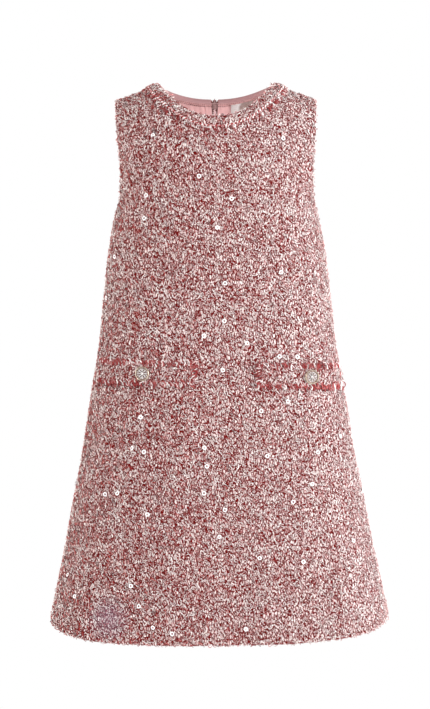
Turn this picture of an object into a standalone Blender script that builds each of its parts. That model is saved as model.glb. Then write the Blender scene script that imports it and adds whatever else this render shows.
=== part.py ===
"""A child's sleeveless shift dress in looped tweed, filled out as if worn.

The cloth is a thin wall round a hollow body: one front, and two backs that meet at a zip.
Sizes are in millimetres and the finished meshes in metres. The origin lies midway between
the two high shoulder points, +Z is up, the front faces -Y, and +X is the wearer's left.
"""

import math

import bmesh
import bpy
import numpy as np
from mathutils import Matrix, Vector

MM = 0.001
LEFT = 1
RIGHT = -1
HANDS = {"left": LEFT, "right": RIGHT}

# Cloth and seams
TWEED = 2.4
SATIN = 1.0
TAPE = 0.8
SEAM_GAP = 0.3
LAYER_GAP = 0.3

# Levels of the body
UNDERARM = -136.0
HEM_AT_CENTRE = -587.0
HEM_RISE_AT_SIDE = {LEFT: 11.5, RIGHT: 9.0}

# Sections round the body: heights below the shoulder points, half widths and depths
SECTION_COLUMNS = ("height", "half_width", "front_depth", "back_depth", "squareness")
SECTIONS = (
    (-590.0, 187.6, 131.0, 123.0, 3.15),
    (-509.0, 170.0, 120.0, 111.0, 2.80),
    (-453.0, 159.0, 112.0, 102.0, 2.68),
    (-398.0, 148.2, 105.0, 94.0, 2.65),
    (-343.0, 139.2, 98.0, 88.0, 2.65),
    (-276.0, 127.8, 91.5, 82.0, 2.65),
    (-232.0, 123.0, 88.5, 79.0, 2.60),
    (-177.0, 116.5, 85.5, 79.0, 2.55),
    (UNDERARM, 108.9, 84.0, 80.0, 2.50),
)

# Shoulders and armholes
NECK_HALF_WIDTH = 61.0
SHOULDER_TIP = 107.0
SHOULDER_FALL = 0.37
RIDGE_SOFTNESS = 14.0
SHOULDER_BREADTH = 118.0
ARMHOLE_COLUMNS = ("rise", "half_width", "breadth")
ARMHOLE = (
    (0.00, 108.9, 108.9),
    (0.05, 106.4, 108.5),
    (0.11, 104.8, 108.7),
    (0.26, 103.4, 111.4),
    (0.45, 103.4, 115.5),
    (0.60, 104.8, SHOULDER_BREADTH),
    (0.74, 106.4, SHOULDER_BREADTH),
    (0.92, 107.2, SHOULDER_BREADTH),
    (1.00, SHOULDER_TIP, SHOULDER_BREADTH),
)

# Neck edge, seen from above
NECK_SQUARENESS = 2.3
NECK_DEPTH = {"front": 62.0, "back": 46.5}
OVER_SQUARENESS = {"front": 2.3, "back": 2.5}
CHEST_DEPTH = {"front": 84.0, "back": 80.0}
FACING_Y = {"front": -1.0, "back": 1.0}

# Soft folds of the skirt, each deepest at the hem: a signed distance from the centre line,
# plus to the wearer's left, and the height where the fold has died away
FOLD_COLUMNS = ("side", "along", "depth", "half_width", "top")
FOLDS = (
    ("front", -92.0, 3.2, 26.0, -330.0),
    ("front", 20.0, 1.8, 24.0, -400.0),
    ("front", 108.0, 2.6, 24.0, -360.0),
    ("back", -96.0, 3.0, 26.0, -340.0),
    ("back", 84.0, 3.4, 28.0, -320.0),
)

# Mesh steps of a half panel
NECK_STEPS = 7
STRAP_STEPS = 5
HALF_STEPS = NECK_STEPS + STRAP_STEPS
SKIRT_STEPS = 12
YOKE_STEPS = 13

# Neck trim: a strip of the same tweed with a frayed outer edge
TRIM_WIDTH = 14.0
TRIM_EDGE = 2.2
TRIM_CROWN = 3.0
TRIM_STEPS = 60
TRIM_END_FROM_ZIP = 4.4
TRIM_SET_DOWN_AT_BACK = 4.0
TRIM_SETS_DOWN_OVER = 30.0

# Frayed edges: tapered strands on a narrow strip, uneven by two waves that never fall in step
FRAY_STRIP = 1.8
FRAY_THICK = 1.5
NECK_STRANDS = 84
NECK_STRAND = 5.2
STRAND_TIP = 0.35
STRAND_LIFT = 0.9
STRAND_LEAN = 0.65
STRAND_UNEVEN = 0.19
LENGTH_SHIFT = 7
SWAY_COLUMNS = ("step", "phase", "share")
SWAY_WAVES = (
    (2.4, 0.0, 0.6),
    (5.1, 1.0, 0.4),
)

# Pocket flaps: where each starts on the front, how it hangs and where its button sits
FLAP_COLUMNS = ("hand", "inner_end", "length", "height", "droop", "button_along", "button_turn")
FLAPS = (
    (RIGHT, 28.0, 116.0, -303.5, 1.0, 53.0, 6.0),
    (LEFT, 41.5, 116.0, -306.5, 7.0, 57.0, 16.0),
)
FLAP_WIDTH = 19.0
FLAP_STEPS = 14
FLAP_THICK = 2.4
FLAP_EDGE_SHARE = 0.85
FLAP_LIFT_AT_LOWER_EDGE = 1.0
FLAP_LIFT_ENDS_BELOW = 0.9
FLAP_LONG_STRANDS = 19
FLAP_END_STRANDS = 3
FLAP_STRAND = 5.0

# Buttons: a turned metal setting on a shank, and crystal petals round a domed centre stone
BUTTON_RADIUS = 7.8
BUTTON_WELL_RADIUS = 6.6
BUTTON_WELL_FLOOR = 1.4
BUTTON_SEGMENTS = 24
SHANK_RADIUS = 1.3
PROFILE_COLUMNS = ("radius", "height")
BUTTON_PROFILE = (
    (7.0, 0.0),
    (BUTTON_RADIUS, 1.2),
    (7.5, 2.6),
    (7.0, 3.0),
    (BUTTON_WELL_RADIUS, 2.5),
    (BUTTON_WELL_RADIUS, BUTTON_WELL_FLOOR),
    (0.0, BUTTON_WELL_FLOOR),
)
PETALS = 8
PETAL_OUT = 6.1
PETAL_IN = 5.0
PETAL_SEGMENTS = 32
PETAL_COLUMNS = ("share", "valley_height", "ridge_height")
PETAL_RINGS = (
    (1.00, 0.0, 0.0),
    (1.00, 0.5, 0.7),
    (0.72, 0.7, 1.5),
    (0.42, 0.6, 1.2),
)
STONE_RINGS = (
    (1.9, 1.0),
    (1.3, 2.1),
    (0.0, 2.3),
)

# Inside the back neck: distances from the zip, and rows of the panel below the neck edge
FACING_FROM_ZIP = 3.8
FACING_BOTTOM_ROW = 5
NECK_EDGE_TURN_IN = 0.06
BINDING_BOTTOM_ROW = 1.45
LABEL_FROM = 18.5
LABEL_TO = 43.0
LABEL_TOP_ROW = 1.5
LABEL_BOTTOM_ROW = 4.0
LABEL_STEPS = 3
LABEL_THICK = 0.5

# Zip: it stands open at the top in a short notch. Distances along it start at the neck edge
ZIP_NOTCH = 3.5
ZIP_NOTCH_DEPTH = 8.0
ZIP_BOTTOM = -345.0
TAPE_FROM = 3.0
TAPE_TO = 12.6
TAPE_TOP = 2.6
CHAIN_HALF = 2.2
CHAIN_THICK = 1.6
CHAIN_TOP = 10.6
CHAIN_BOTTOM = ZIP_BOTTOM + 2.0
SLIDER_AT = 4.0

# Zip slider: boxes in across, up and out from the cloth's outer face
BOX_COLUMNS = ("name", "low", "high")
SLIDER_BOXES = (
    ("slider_crown", (-2.0, -3.2, 0.5), (2.0, 2.6, 1.3)),
    ("slider_neck", (-0.6, -1.0, -3.2), (0.6, 1.6, 0.8)),
    ("slider_body", (-2.6, -5.4, -5.0), (2.6, 2.4, -2.9)),
    ("slider_lower_post", (-0.5, -2.0, 1.0), (0.5, -1.2, 3.8)),
    ("slider_upper_post", (-0.5, 1.2, 1.0), (0.5, 2.0, 3.8)),
    ("slider_bridge", (-0.5, -2.0, 3.1), (0.5, 2.0, 3.8)),
)

# Zip pull: its outline below the bar that hangs through the slider's bridge. It rests on the
# lower end of the slider's crown, turned in towards the cloth
PULL_PIVOT_OUT = 2.2
PULL_REST_TURN = 7.0
PULL_HALF_THICK = 0.4
PULL_BAR_HALF = 0.4
PULL_COLUMNS = ("up", "half_width")
PULL_OUTLINE = (
    (PULL_BAR_HALF, 1.5),
    (-0.3, 1.9),
    (-4.4, 1.9),
    (-6.0, 1.5),
    (-12.0, 2.3),
    (-15.5, 2.9),
    (-17.6, 2.5),
    (-18.8, 1.3),
)
PULL_HOLE = ("pull_hole", (-1.0, -3.4, -2.0), (1.0, -PULL_BAR_HALF, 2.0))

# Colours, from the photograph, and how each surface reflects
FINISH_COLUMNS = ("colour", "roughness", "metallic")
FINISHES = {
    "tweed": ((0.49, 0.29, 0.28), 0.85, 0.0),
    "tweed_trim": ((0.44, 0.23, 0.23), 0.85, 0.0),
    "satin": ((0.62, 0.37, 0.37), 0.35, 0.0),
    "zip_tape": ((0.52, 0.32, 0.33), 0.7, 0.0),
    "zip_metal": ((0.72, 0.66, 0.64), 0.3, 1.0),
    "button_metal": ((0.80, 0.74, 0.66), 0.25, 1.0),
    "crystal": ((0.92, 0.90, 0.88), 0.08, 0.0),
    "label": ((0.78, 0.76, 0.76), 0.6, 0.0),
}


def clear_scene():
    for obj in list(bpy.data.objects):
        bpy.data.objects.remove(obj)


def finish(name):
    """The material of this name, made on first use."""
    found = bpy.data.materials.get(name)
    if found:
        return found
    values = dict(zip(FINISH_COLUMNS, FINISHES[name]))
    material = bpy.data.materials.new(name)
    material.use_nodes = True
    shader = material.node_tree.nodes["Principled BSDF"]
    shader.inputs["Base Color"].default_value = (*values["colour"], 1.0)
    shader.inputs["Roughness"].default_value = values["roughness"]
    shader.inputs["Metallic"].default_value = values["metallic"]
    return material


def ease(value):
    """Smooth step from 0 to 1."""
    held = np.clip(value, 0.0, 1.0)
    return held * held * (3.0 - 2.0 * held)


def read_table(table, columns, name, at):
    """A smooth curve through one column of a table, read at the value of its first column."""
    knots = np.array([row[0] for row in table])
    values = np.array([row[columns.index(name)] for row in table])
    slopes = np.gradient(values, knots)
    at = np.clip(np.asarray(at, float), knots[0], knots[-1])
    low = np.clip(np.searchsorted(knots, at) - 1, 0, len(knots) - 2)
    span = knots[low + 1] - knots[low]
    part = (at - knots[low]) / span
    start = (1 + 2 * part) * (1 - part) ** 2 * values[low]
    start = start + part * (1 - part) ** 2 * span * slopes[low]
    end = part**2 * (3 - 2 * part) * values[low + 1]
    return start + end + part**2 * (part - 1) * span * slopes[low + 1]


def section(height, name):
    return read_table(SECTIONS, SECTION_COLUMNS, name, height)


def fold_offset(side, along, height):
    """How far the skirt is drawn in by its folds, at a signed distance from the centre line."""
    offset = 0.0
    for row in FOLDS:
        fold = dict(zip(FOLD_COLUMNS, row))
        if fold["side"] != side:
            continue
        across = math.exp(-(((along - fold["along"]) / fold["half_width"]) ** 2))
        fallen = (fold["top"] - height) / (fold["top"] - HEM_AT_CENTRE)
        offset += fold["depth"] * across * float(ease(fallen))
    return offset


def skirt_point(side, hand, fraction, height, along=None):
    """Outer surface below the underarm.

    fraction runs evenly round the cloth from 0 at the centre line to 1 at the side seam.
    Where along is given, it is the distance round the cloth in millimetres instead.
    """
    turn = np.linspace(0.0, math.pi / 2, 241)
    power = 2.0 / float(section(height, "squareness"))
    x = float(section(height, "half_width")) * np.sin(turn) ** power
    y = float(section(height, side + "_depth")) * np.cos(turn) ** power
    length = np.concatenate([[0.0], np.cumsum(np.hypot(np.diff(x), np.diff(y)))])
    wanted = fraction * length[-1] if along is None else along
    place = np.array([np.interp(wanted, length, x), np.interp(wanted, length, y)])
    inward = fold_offset(side, hand * wanted, height)
    place = place * (1.0 - inward / max(np.hypot(*place), 1.0))
    return np.array([hand * place[0], FACING_Y[side] * place[1], height])


def ridge_height(x):
    """Height of the line that the shoulder seam follows, eased where it meets the neck."""
    past = np.abs(x) - NECK_HALF_WIDTH
    rounded = (past + np.hypot(past, RIDGE_SOFTNESS)) / 2
    return SHOULDER_FALL * (RIDGE_SOFTNESS / 2 - rounded)


def depth_over(side, x, breadth):
    """Depth of the yoke over the point x, before it leans in towards the shoulder."""
    power = float(section(UNDERARM, "squareness"))
    share = np.clip(np.abs(x) / breadth, 0.0, 1.0)
    return CHEST_DEPTH[side] * (1.0 - share**power) ** (1.0 / power)


def neck_edge(turn):
    """Plan of the neck edge and its outward direction. turn is 0 in front, 180 behind."""
    angle = math.radians(turn)
    depth = NECK_DEPTH["front"] if abs(turn) < 90 else NECK_DEPTH["back"]
    power = 2.0 / NECK_SQUARENESS
    sine = math.copysign(abs(math.sin(angle)) ** power, math.sin(angle))
    cosine = math.copysign(abs(math.cos(angle)) ** power, math.cos(angle))
    place = np.array([NECK_HALF_WIDTH * sine, -depth * cosine])
    rest = NECK_SQUARENESS - 1
    outward = np.array(
        [
            math.copysign(abs(sine) ** rest, sine) / NECK_HALF_WIDTH,
            -math.copysign(abs(cosine) ** rest, cosine) / depth,
        ]
    )
    return place, outward / np.linalg.norm(outward)


def on_shoulders(plan):
    """Outer surface of the yoke over points of the plan."""
    x = plan[:, 0]
    y = plan[:, 1]
    height = np.empty(len(plan))
    for side, facing in FACING_Y.items():
        here = y * facing >= 0
        power = OVER_SQUARENESS[side]
        share = np.abs(y[here]) / depth_over(side, x[here], SHOULDER_BREADTH)
        lean = (1.0 - np.clip(share, 0.0, 1.0) ** power) ** (1.0 / power)
        height[here] = UNDERARM + (ridge_height(x[here]) - UNDERARM) * lean
    return np.column_stack([x, y, height])


def out_from_neck(turn, distances):
    """Points and surface normals at these distances from the neck edge, on the outside."""
    place, outward = neck_edge(turn)
    steps = np.arange(0.0, 40.0, 0.5)
    path = on_shoulders(place + steps[:, None] * outward)
    length = np.concatenate([[0.0], np.cumsum(np.linalg.norm(np.diff(path, axis=0), axis=1))])
    points = np.column_stack([np.interp(distances, length, path[:, axis]) for axis in range(3)])
    nudge = 0.5
    east = on_shoulders(points[:, :2] + [nudge, 0.0]) - on_shoulders(points[:, :2] - [nudge, 0.0])
    north = on_shoulders(points[:, :2] + [0.0, nudge]) - on_shoulders(points[:, :2] - [0.0, nudge])
    normals = np.cross(east, north)
    return points, normals / np.linalg.norm(normals, axis=1)[:, None]


def skirt_rows(side, hand):
    """Grid of outer points from the hem to just below the underarm."""
    rows = []
    for step in range(SKIRT_STEPS):
        row = []
        for fraction in np.linspace(0.0, 1.0, HALF_STEPS + 1):
            rise = HEM_RISE_AT_SIDE[hand] * math.sin(fraction * math.pi / 2) ** 4
            hem = HEM_AT_CENTRE + rise
            height = hem + (UNDERARM - hem) * step / SKIRT_STEPS
            row.append(skirt_point(side, hand, fraction, height))
        rows.append(row)
    return np.array(rows)


def yoke_rows(side, hand):
    """Grid of outer points from the underarm to the neck edge and the shoulder seam."""
    fractions = np.linspace(0.0, 1.0, HALF_STEPS + 1)
    low_x = np.array([hand * skirt_point(side, hand, part, UNDERARM)[0] for part in fractions])
    neck = [neck_edge(turn)[0] for turn in np.linspace(0.0, 90.0, NECK_STEPS + 1)]
    strap_x = np.linspace(NECK_HALF_WIDTH, SHOULDER_TIP, STRAP_STEPS + 1)[1:]
    top_x = np.concatenate([[place[0] for place in neck], strap_x])
    reach = np.array([abs(place[1]) for place in neck]) / NECK_DEPTH["front"] * NECK_DEPTH[side]
    reach = np.concatenate([reach, np.zeros(STRAP_STEPS)])
    power = OVER_SQUARENESS[side]
    share = np.clip(reach / depth_over(side, top_x, SHOULDER_BREADTH), 0.0, 1.0)
    top_turn = np.arccos(share ** (power / 2))
    rows = []
    for step in range(YOKE_STEPS + 1):
        part = (1.0 - math.cos(math.pi * step / YOKE_STEPS)) / 2
        turn = top_turn * part
        rise = math.sin(math.pi / 2 * part) ** (2 / power)
        edge = float(read_table(ARMHOLE, ARMHOLE_COLUMNS, "half_width", rise))
        x = low_x + (top_x - low_x) * part
        x = x * edge / x[-1]
        breadth = float(read_table(ARMHOLE, ARMHOLE_COLUMNS, "breadth", rise))
        y = depth_over(side, x, breadth) * np.clip(np.cos(turn), 0.0, 1.0) ** (2 / power)
        z = UNDERARM + (ridge_height(x) - UNDERARM) * np.sin(turn) ** (2 / power)
        rows.append(np.column_stack([hand * x, FACING_Y[side] * y, z]))
    return np.array(rows)


def half_panel(side, hand):
    """Outer points of half a panel: rows from the hem up, columns from the centre line out."""
    grid = np.concatenate([skirt_rows(side, hand), yoke_rows(side, hand)])
    clear = SEAM_GAP / 2
    grid[:, :, 1] = FACING_Y[side] * np.maximum(np.abs(grid[:, :, 1]), clear)
    grid[:, 0, 0] = 0.0
    return grid


def unit(vectors):
    return vectors / np.maximum(np.linalg.norm(vectors, axis=-1, keepdims=True), 1e-9)


def panel_normals(grid, side_seams=(), centre_seam=False):
    """Outward normals of a panel's points, square to each seam so that the walls meet."""
    normals = np.cross(np.gradient(grid, axis=1), np.gradient(grid, axis=0))
    outward = grid - np.array([0.0, 0.0, UNDERARM])
    outward[:SKIRT_STEPS, :, 2] = 0.0
    normals = normals * np.sign(np.sum(normals * outward, axis=2))[:, :, None]
    normals = unit(normals)
    for column in side_seams:
        normals[: SKIRT_STEPS + 1, column, 1] = 0.0
    on_shoulder_seam = np.abs(grid[-1, :, 1]) < SEAM_GAP
    normals[-1, on_shoulder_seam, 1] = 0.0
    if centre_seam:
        normals[:, 0, 0] = 0.0
    return unit(normals)


def put_in_scene(name, mesh, finish_name, sharp_from=40.0):
    mesh.materials.append(finish(finish_name))
    mesh.shade_smooth()
    mesh.set_sharp_from_angle(angle=math.radians(sharp_from))
    obj = bpy.data.objects.new(name, mesh)
    bpy.context.scene.collection.objects.link(obj)
    return obj


def mesh_from(name, points, faces, scale=MM):
    """A mesh in metres whose faces point outwards."""
    mesh = bpy.data.meshes.new(name)
    mesh.from_pydata([Vector(point) * scale for point in points], [], faces)
    shape = bmesh.new()
    shape.from_mesh(mesh)
    bmesh.ops.recalc_face_normals(shape, faces=shape.faces)
    shape.to_mesh(mesh)
    shape.free()
    return mesh


def wall_faces(rows, columns):
    """Faces of a wall between two grids: both skins and the four edges between them."""
    back = rows * columns
    faces = []
    for row in range(rows - 1):
        for column in range(columns - 1):
            corner = row * columns + column
            skin = (corner, corner + 1, corner + columns + 1, corner + columns)
            faces.append(skin)
            faces.append(tuple(back + index for index in reversed(skin)))
    border = list(range(columns))
    border += [row * columns + columns - 1 for row in range(1, rows)]
    border += [(rows - 1) * columns + column for column in reversed(range(columns - 1))]
    border += [row * columns for row in reversed(range(1, rows - 1))]
    for start, end in zip(border, border[1:] + border[:1]):
        faces.append((start, back + start, back + end, end))
    return faces


def wall(name, outer, inner, finish_name):
    """A closed wall between an outer and an inner grid of points."""
    rows, columns = outer.shape[:2]
    points = np.concatenate([outer.reshape(-1, 3), inner.reshape(-1, 3)])
    mesh = mesh_from(name, points, wall_faces(rows, columns))
    return put_in_scene(name, mesh, finish_name)


def make_front():
    left = half_panel("front", LEFT)
    right = half_panel("front", RIGHT)
    grid = np.concatenate([right[:, :0:-1], left], axis=1)
    normals = panel_normals(grid, side_seams=(0, -1))
    wall("front", grid, grid - normals * TWEED, "tweed")


def neck_distance(grid):
    """Distance down the centre column from the neck edge, for each row."""
    steps = np.linalg.norm(np.diff(grid[::-1, 0], axis=0), axis=1)
    return np.concatenate([[0.0], np.cumsum(steps)])[::-1]


def make_back(name, hand):
    """One back panel. Its centre edge stands open in a short notch above the zip."""
    grid = half_panel("back", hand)
    notch = ZIP_NOTCH * (1.0 - neck_distance(grid) / ZIP_NOTCH_DEPTH)
    grid[:, 0, 0] = hand * np.maximum(notch, SEAM_GAP / 2)
    normals = panel_normals(grid, side_seams=(-1,), centre_seam=True)
    wall("back_" + name, grid, grid - normals * TWEED, "tweed")
    return grid, normals


def at_place(values, place):
    """Value between two items of a list, at a fractional place."""
    low = min(int(place), len(values) - 2)
    return values[low] + (values[low + 1] - values[low]) * (place - low)


def sample(values, rows, columns):
    """Values of a grid at fractional rows and columns, on the flat faces between its points."""
    lines = [at_place(values, row) for row in rows]
    return np.array([[at_place(line, place) for place in places]
                     for line, places in zip(lines, columns)])


def places_between(start, end):
    """start, every whole number in between, then end."""
    whole = [float(number) for number in range(math.floor(start) + 1, math.ceil(end))]
    return [start, *whole, end]


def column_at(grid, row_place, x):
    """The fractional column where a row of the grid passes the distance x from the centre."""
    line = at_place(grid, row_place)
    return float(np.interp(x, np.abs(line[:, 0]), np.arange(len(line))))


def lining_layer(name, panel, rows, columns, depth, thick, finish_name):
    """A layer inside a back panel, made from the panel's points and moved in.

    columns gives, for a row, the fractional columns that the layer runs through.
    """
    grid, normals = panel
    places = [columns(row) for row in rows]
    skin = sample(grid - normals * TWEED, rows, places)
    inward = sample(normals, rows, places)
    outer = skin - inward * depth
    return wall(name, outer, outer - inward * thick, finish_name)


def make_back_lining(name, hand, panel):
    """Zip tape, satin neck facing and the stitched satin binding of one back."""
    grid = panel[0]
    top = len(grid) - 1
    centre_heights = grid[:, 0, 2]
    from_neck = neck_distance(grid)

    def row_below_neck(distance):
        return float(np.interp(-distance, -from_neck, np.arange(top + 1)))

    tape_bottom = float(np.interp(ZIP_BOTTOM, centre_heights, np.arange(top + 1)))
    tape_rows = places_between(tape_bottom, row_below_neck(TAPE_TOP))
    lining_layer(
        "zip_tape_" + name, panel, tape_rows,
        lambda row: [column_at(grid, row, TAPE_FROM), column_at(grid, row, TAPE_TO)],
        LAYER_GAP, TAPE, "zip_tape",
    )

    def from_zip_to_shoulder(row):
        inner = column_at(grid, row, FACING_FROM_ZIP)
        return [inner, *range(1, NECK_STEPS), NECK_STEPS - NECK_EDGE_TURN_IN]

    facing_depth = LAYER_GAP + TAPE + LAYER_GAP
    facing_rows = places_between(top - FACING_BOTTOM_ROW, top - NECK_EDGE_TURN_IN)
    lining_layer("neck_facing_" + name, panel, facing_rows, from_zip_to_shoulder,
                 facing_depth, SATIN, "satin")
    binding_depth = facing_depth + SATIN + LAYER_GAP
    binding_rows = places_between(top - BINDING_BOTTOM_ROW, top - NECK_EDGE_TURN_IN)
    lining_layer("neck_binding_" + name, panel, binding_rows, from_zip_to_shoulder,
                 binding_depth, SATIN, "satin")
    if hand == LEFT:
        label_rows = places_between(top - LABEL_BOTTOM_ROW, top - LABEL_TOP_ROW)

        def label_columns(row):
            ends = (column_at(grid, row, LABEL_FROM), column_at(grid, row, LABEL_TO))
            return np.linspace(*ends, LABEL_STEPS + 1)

        lining_layer("label", panel, label_rows, label_columns,
                     binding_depth + SATIN + LAYER_GAP, LABEL_THICK, "label")


def zip_spine(panel, places):
    """Points and normals of the centre line of the back at fractional rows."""
    grid, normals = panel
    centre = grid[:, 0] * [0.0, 1.0, 1.0]
    points = np.array([at_place(centre, place) for place in places])
    return points, unit(np.array([at_place(normals[:, 0], place) for place in places]))


def make_zip_chain(panel):
    """The closed chain between the two tapes, inside the centre line of the back."""
    grid = panel[0]
    rows = np.arange(len(grid))
    bottom = float(np.interp(CHAIN_BOTTOM, grid[:, 0, 2], rows))
    top = float(np.interp(-CHAIN_TOP, -neck_distance(grid), rows))
    points, normals = zip_spine(panel, places_between(bottom, top))
    across = np.array([[-CHAIN_HALF, 0.0, 0.0], [0.0, 0.0, 0.0], [CHAIN_HALF, 0.0, 0.0]])
    outer = (points - normals * (TWEED + LAYER_GAP))[:, None] + across
    wall("zip_chain", outer, outer - normals[:, None] * CHAIN_THICK, "zip_tape")


def make_backs():
    """Both back panels with their linings and the zip. Gives the slider's place and normal."""
    panels = {}
    for name, hand in HANDS.items():
        panels[name] = make_back(name, hand)
        make_back_lining(name, hand, panels[name])
    panel = panels["left"]
    make_zip_chain(panel)
    rows = np.arange(len(panel[0]))
    slider_row = float(np.interp(-SLIDER_AT, -neck_distance(panel[0]), rows))
    points, normals = zip_spine(panel, [slider_row])
    return points[0], normals[0]


def even_turns(first, last, count):
    """Turns round the neck edge, evenly spaced along it."""
    turns = np.linspace(first, last, 721)
    plan = np.array([neck_edge(turn)[0] for turn in turns])
    length = np.concatenate([[0.0], np.cumsum(np.linalg.norm(np.diff(plan, axis=0), axis=1))])
    return np.interp(np.linspace(0.0, length[-1], count), length, turns)


def trim_start(turn):
    """How far below the neck edge the trim starts: it sits lower behind."""
    return TRIM_SET_DOWN_AT_BACK * float(ease((abs(turn) - 90.0) / TRIM_SETS_DOWN_OVER))


def trim_turns(count):
    share = (TRIM_END_FROM_ZIP / NECK_HALF_WIDTH) ** (NECK_SQUARENESS / 2)
    last = 180.0 - math.degrees(math.asin(share))
    return even_turns(-last, last, count)


def make_neck_trim():
    lower = []
    upper = []
    for turn in trim_turns(TRIM_STEPS + 1):
        across = trim_start(turn) + np.array([0.0, 0.5, 1.0]) * TRIM_WIDTH
        points, normals = out_from_neck(turn, across)
        crown = np.array([TRIM_EDGE, TRIM_CROWN, TRIM_EDGE])[:, None]
        lower.append(points + normals * LAYER_GAP)
        upper.append(points + normals * (LAYER_GAP + crown))
    wall("neck_trim", np.array(upper), np.array(lower), "tweed_trim")


def frayed_strip(name, roots, edges, tips):
    """A narrow strip with tapered strands drawn out of every other piece of its edge.

    roots and edges hold, for each step along the strip, a low and a high point. tips has a
    point for each strand, or None where the edge stays plain.
    """
    count = len(roots)
    points = []
    for root, edge in zip(roots, edges):
        points += [root[0], root[1], edge[1], edge[0]]
    faces = [(0, 1, 2, 3), tuple(4 * (count - 1) + corner for corner in (3, 2, 1, 0))]
    for step in range(count - 1):
        here = 4 * step
        there = here + 4
        for corner in range(4):
            following = (corner + 1) % 4
            if corner == 2 and tips[step] is not None:
                continue
            faces.append((here + corner, there + corner, there + following, here + following))
        if tips[step] is None:
            continue
        root_ring = [here + 2, there + 2, there + 3, here + 3]
        middle = np.mean([points[index] for index in root_ring], axis=0)
        tip_ring = []
        for index in root_ring:
            shift = points[index] - middle
            tip_ring.append(len(points))
            points.append(tips[step] + shift * STRAND_TIP)
        faces.append(tuple(tip_ring))
        for corner in range(4):
            following = (corner + 1) % 4
            faces.append((root_ring[corner], root_ring[following],
                          tip_ring[following], tip_ring[corner]))
    put_in_scene(name, mesh_from(name, points, faces), "tweed_trim")


def strand_sway(index):
    """An uneven but repeatable value from -1 to 1, for a strand's lean or length."""
    waves = [dict(zip(SWAY_COLUMNS, row)) for row in SWAY_WAVES]
    return sum(wave["share"] * math.sin(wave["step"] * index + wave["phase"]) for wave in waves)


def strand_length(index, even_length):
    return even_length * (1.0 + STRAND_UNEVEN * strand_sway(index + LENGTH_SHIFT))


def make_neck_fringe():
    """Frayed outer edge of the neck trim."""
    steps = 2 * NECK_STRANDS + 1
    turns = trim_turns(steps + 1)
    roots = []
    edges = []
    tips = []
    for step, turn in enumerate(turns):
        start = trim_start(turn) + TRIM_WIDTH + SEAM_GAP
        points, normals = out_from_neck(turn, np.array([start, start + FRAY_STRIP]))
        low = points + normals * LAYER_GAP
        high = low + normals * FRAY_THICK
        roots.append((low[0], high[0]))
        edges.append((low[1], high[1]))
        if step == steps:
            break
        if step % 2 == 0:
            tips.append(None)
            continue
        leaning = turn + (turns[step + 1] - turn) * (0.5 + STRAND_LEAN * strand_sway(step))
        reach = start + FRAY_STRIP + strand_length(step, NECK_STRAND)
        point, normal = out_from_neck(leaning, np.array([reach]))
        tips.append(point[0] + normal[0] * (LAYER_GAP + FRAY_THICK / 2 + STRAND_LIFT))
    frayed_strip("neck_trim_fringe", roots, edges, tips)


def front_frame(hand, along, height):
    """A point of the front with its normal, at a distance round the cloth from its centre."""
    point = skirt_point("front", hand, None, height, along)
    east = skirt_point("front", hand, None, height, along + 1) - point
    north = skirt_point("front", hand, None, height + 1, along) - point
    normal = np.cross(east, north) * hand
    return point, unit(normal)


def flap_height(flap, along):
    """Middle of a flap, which hangs lower towards the side seam."""
    share = (along - flap["inner_end"]) / flap["length"]
    return flap["height"] - flap["droop"] * share


def on_flap(flap, along, up, lift):
    """A point over the front, measured along the flap and up from its middle."""
    height = flap_height(flap, along) + up
    point, normal = front_frame(flap["hand"], along, height)
    share = np.clip(up / FLAP_WIDTH, -FLAP_LIFT_ENDS_BELOW, 0.5)
    stands_off = FLAP_LIFT_AT_LOWER_EDGE * (0.5 - share)
    return point + normal * (LAYER_GAP + stands_off + lift)


def make_flap(name, flap):
    half = FLAP_WIDTH / 2
    edge = FLAP_THICK * FLAP_EDGE_SHARE
    outer = []
    inner = []
    for along in np.linspace(0.0, flap["length"], FLAP_STEPS + 1) + flap["inner_end"]:
        crown = ((-half, edge), (0.0, FLAP_THICK), (half, edge))
        outer.append([on_flap(flap, along, up, lift) for up, lift in crown])
        inner.append([on_flap(flap, along, up, 0.0) for up, _ in crown])
    wall("flap_" + name, np.array(outer), np.array(inner), "tweed")


def flap_border(flap):
    """Stations round three sides of a flap: along, up and the outward direction of each."""
    half = FLAP_WIDTH / 2 + SEAM_GAP
    start = flap["inner_end"] - SEAM_GAP
    end = flap["inner_end"] + flap["length"]
    stations = []
    long_steps = 2 * FLAP_LONG_STRANDS
    end_steps = 2 * FLAP_END_STRANDS
    for part in np.linspace(0.0, 1.0, long_steps + 1):
        stations.append((end + (start - end) * part, half, (0.0, 1.0)))
    for part in np.linspace(0.0, 1.0, end_steps + 1)[1:-1]:
        stations.append((start, half - 2 * half * part, (-1.0, 0.0)))
    for part in np.linspace(0.0, 1.0, long_steps + 1):
        stations.append((start + (end - start) * part, -half, (0.0, -1.0)))
    corners = (long_steps, long_steps + end_steps)
    return stations, corners


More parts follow.
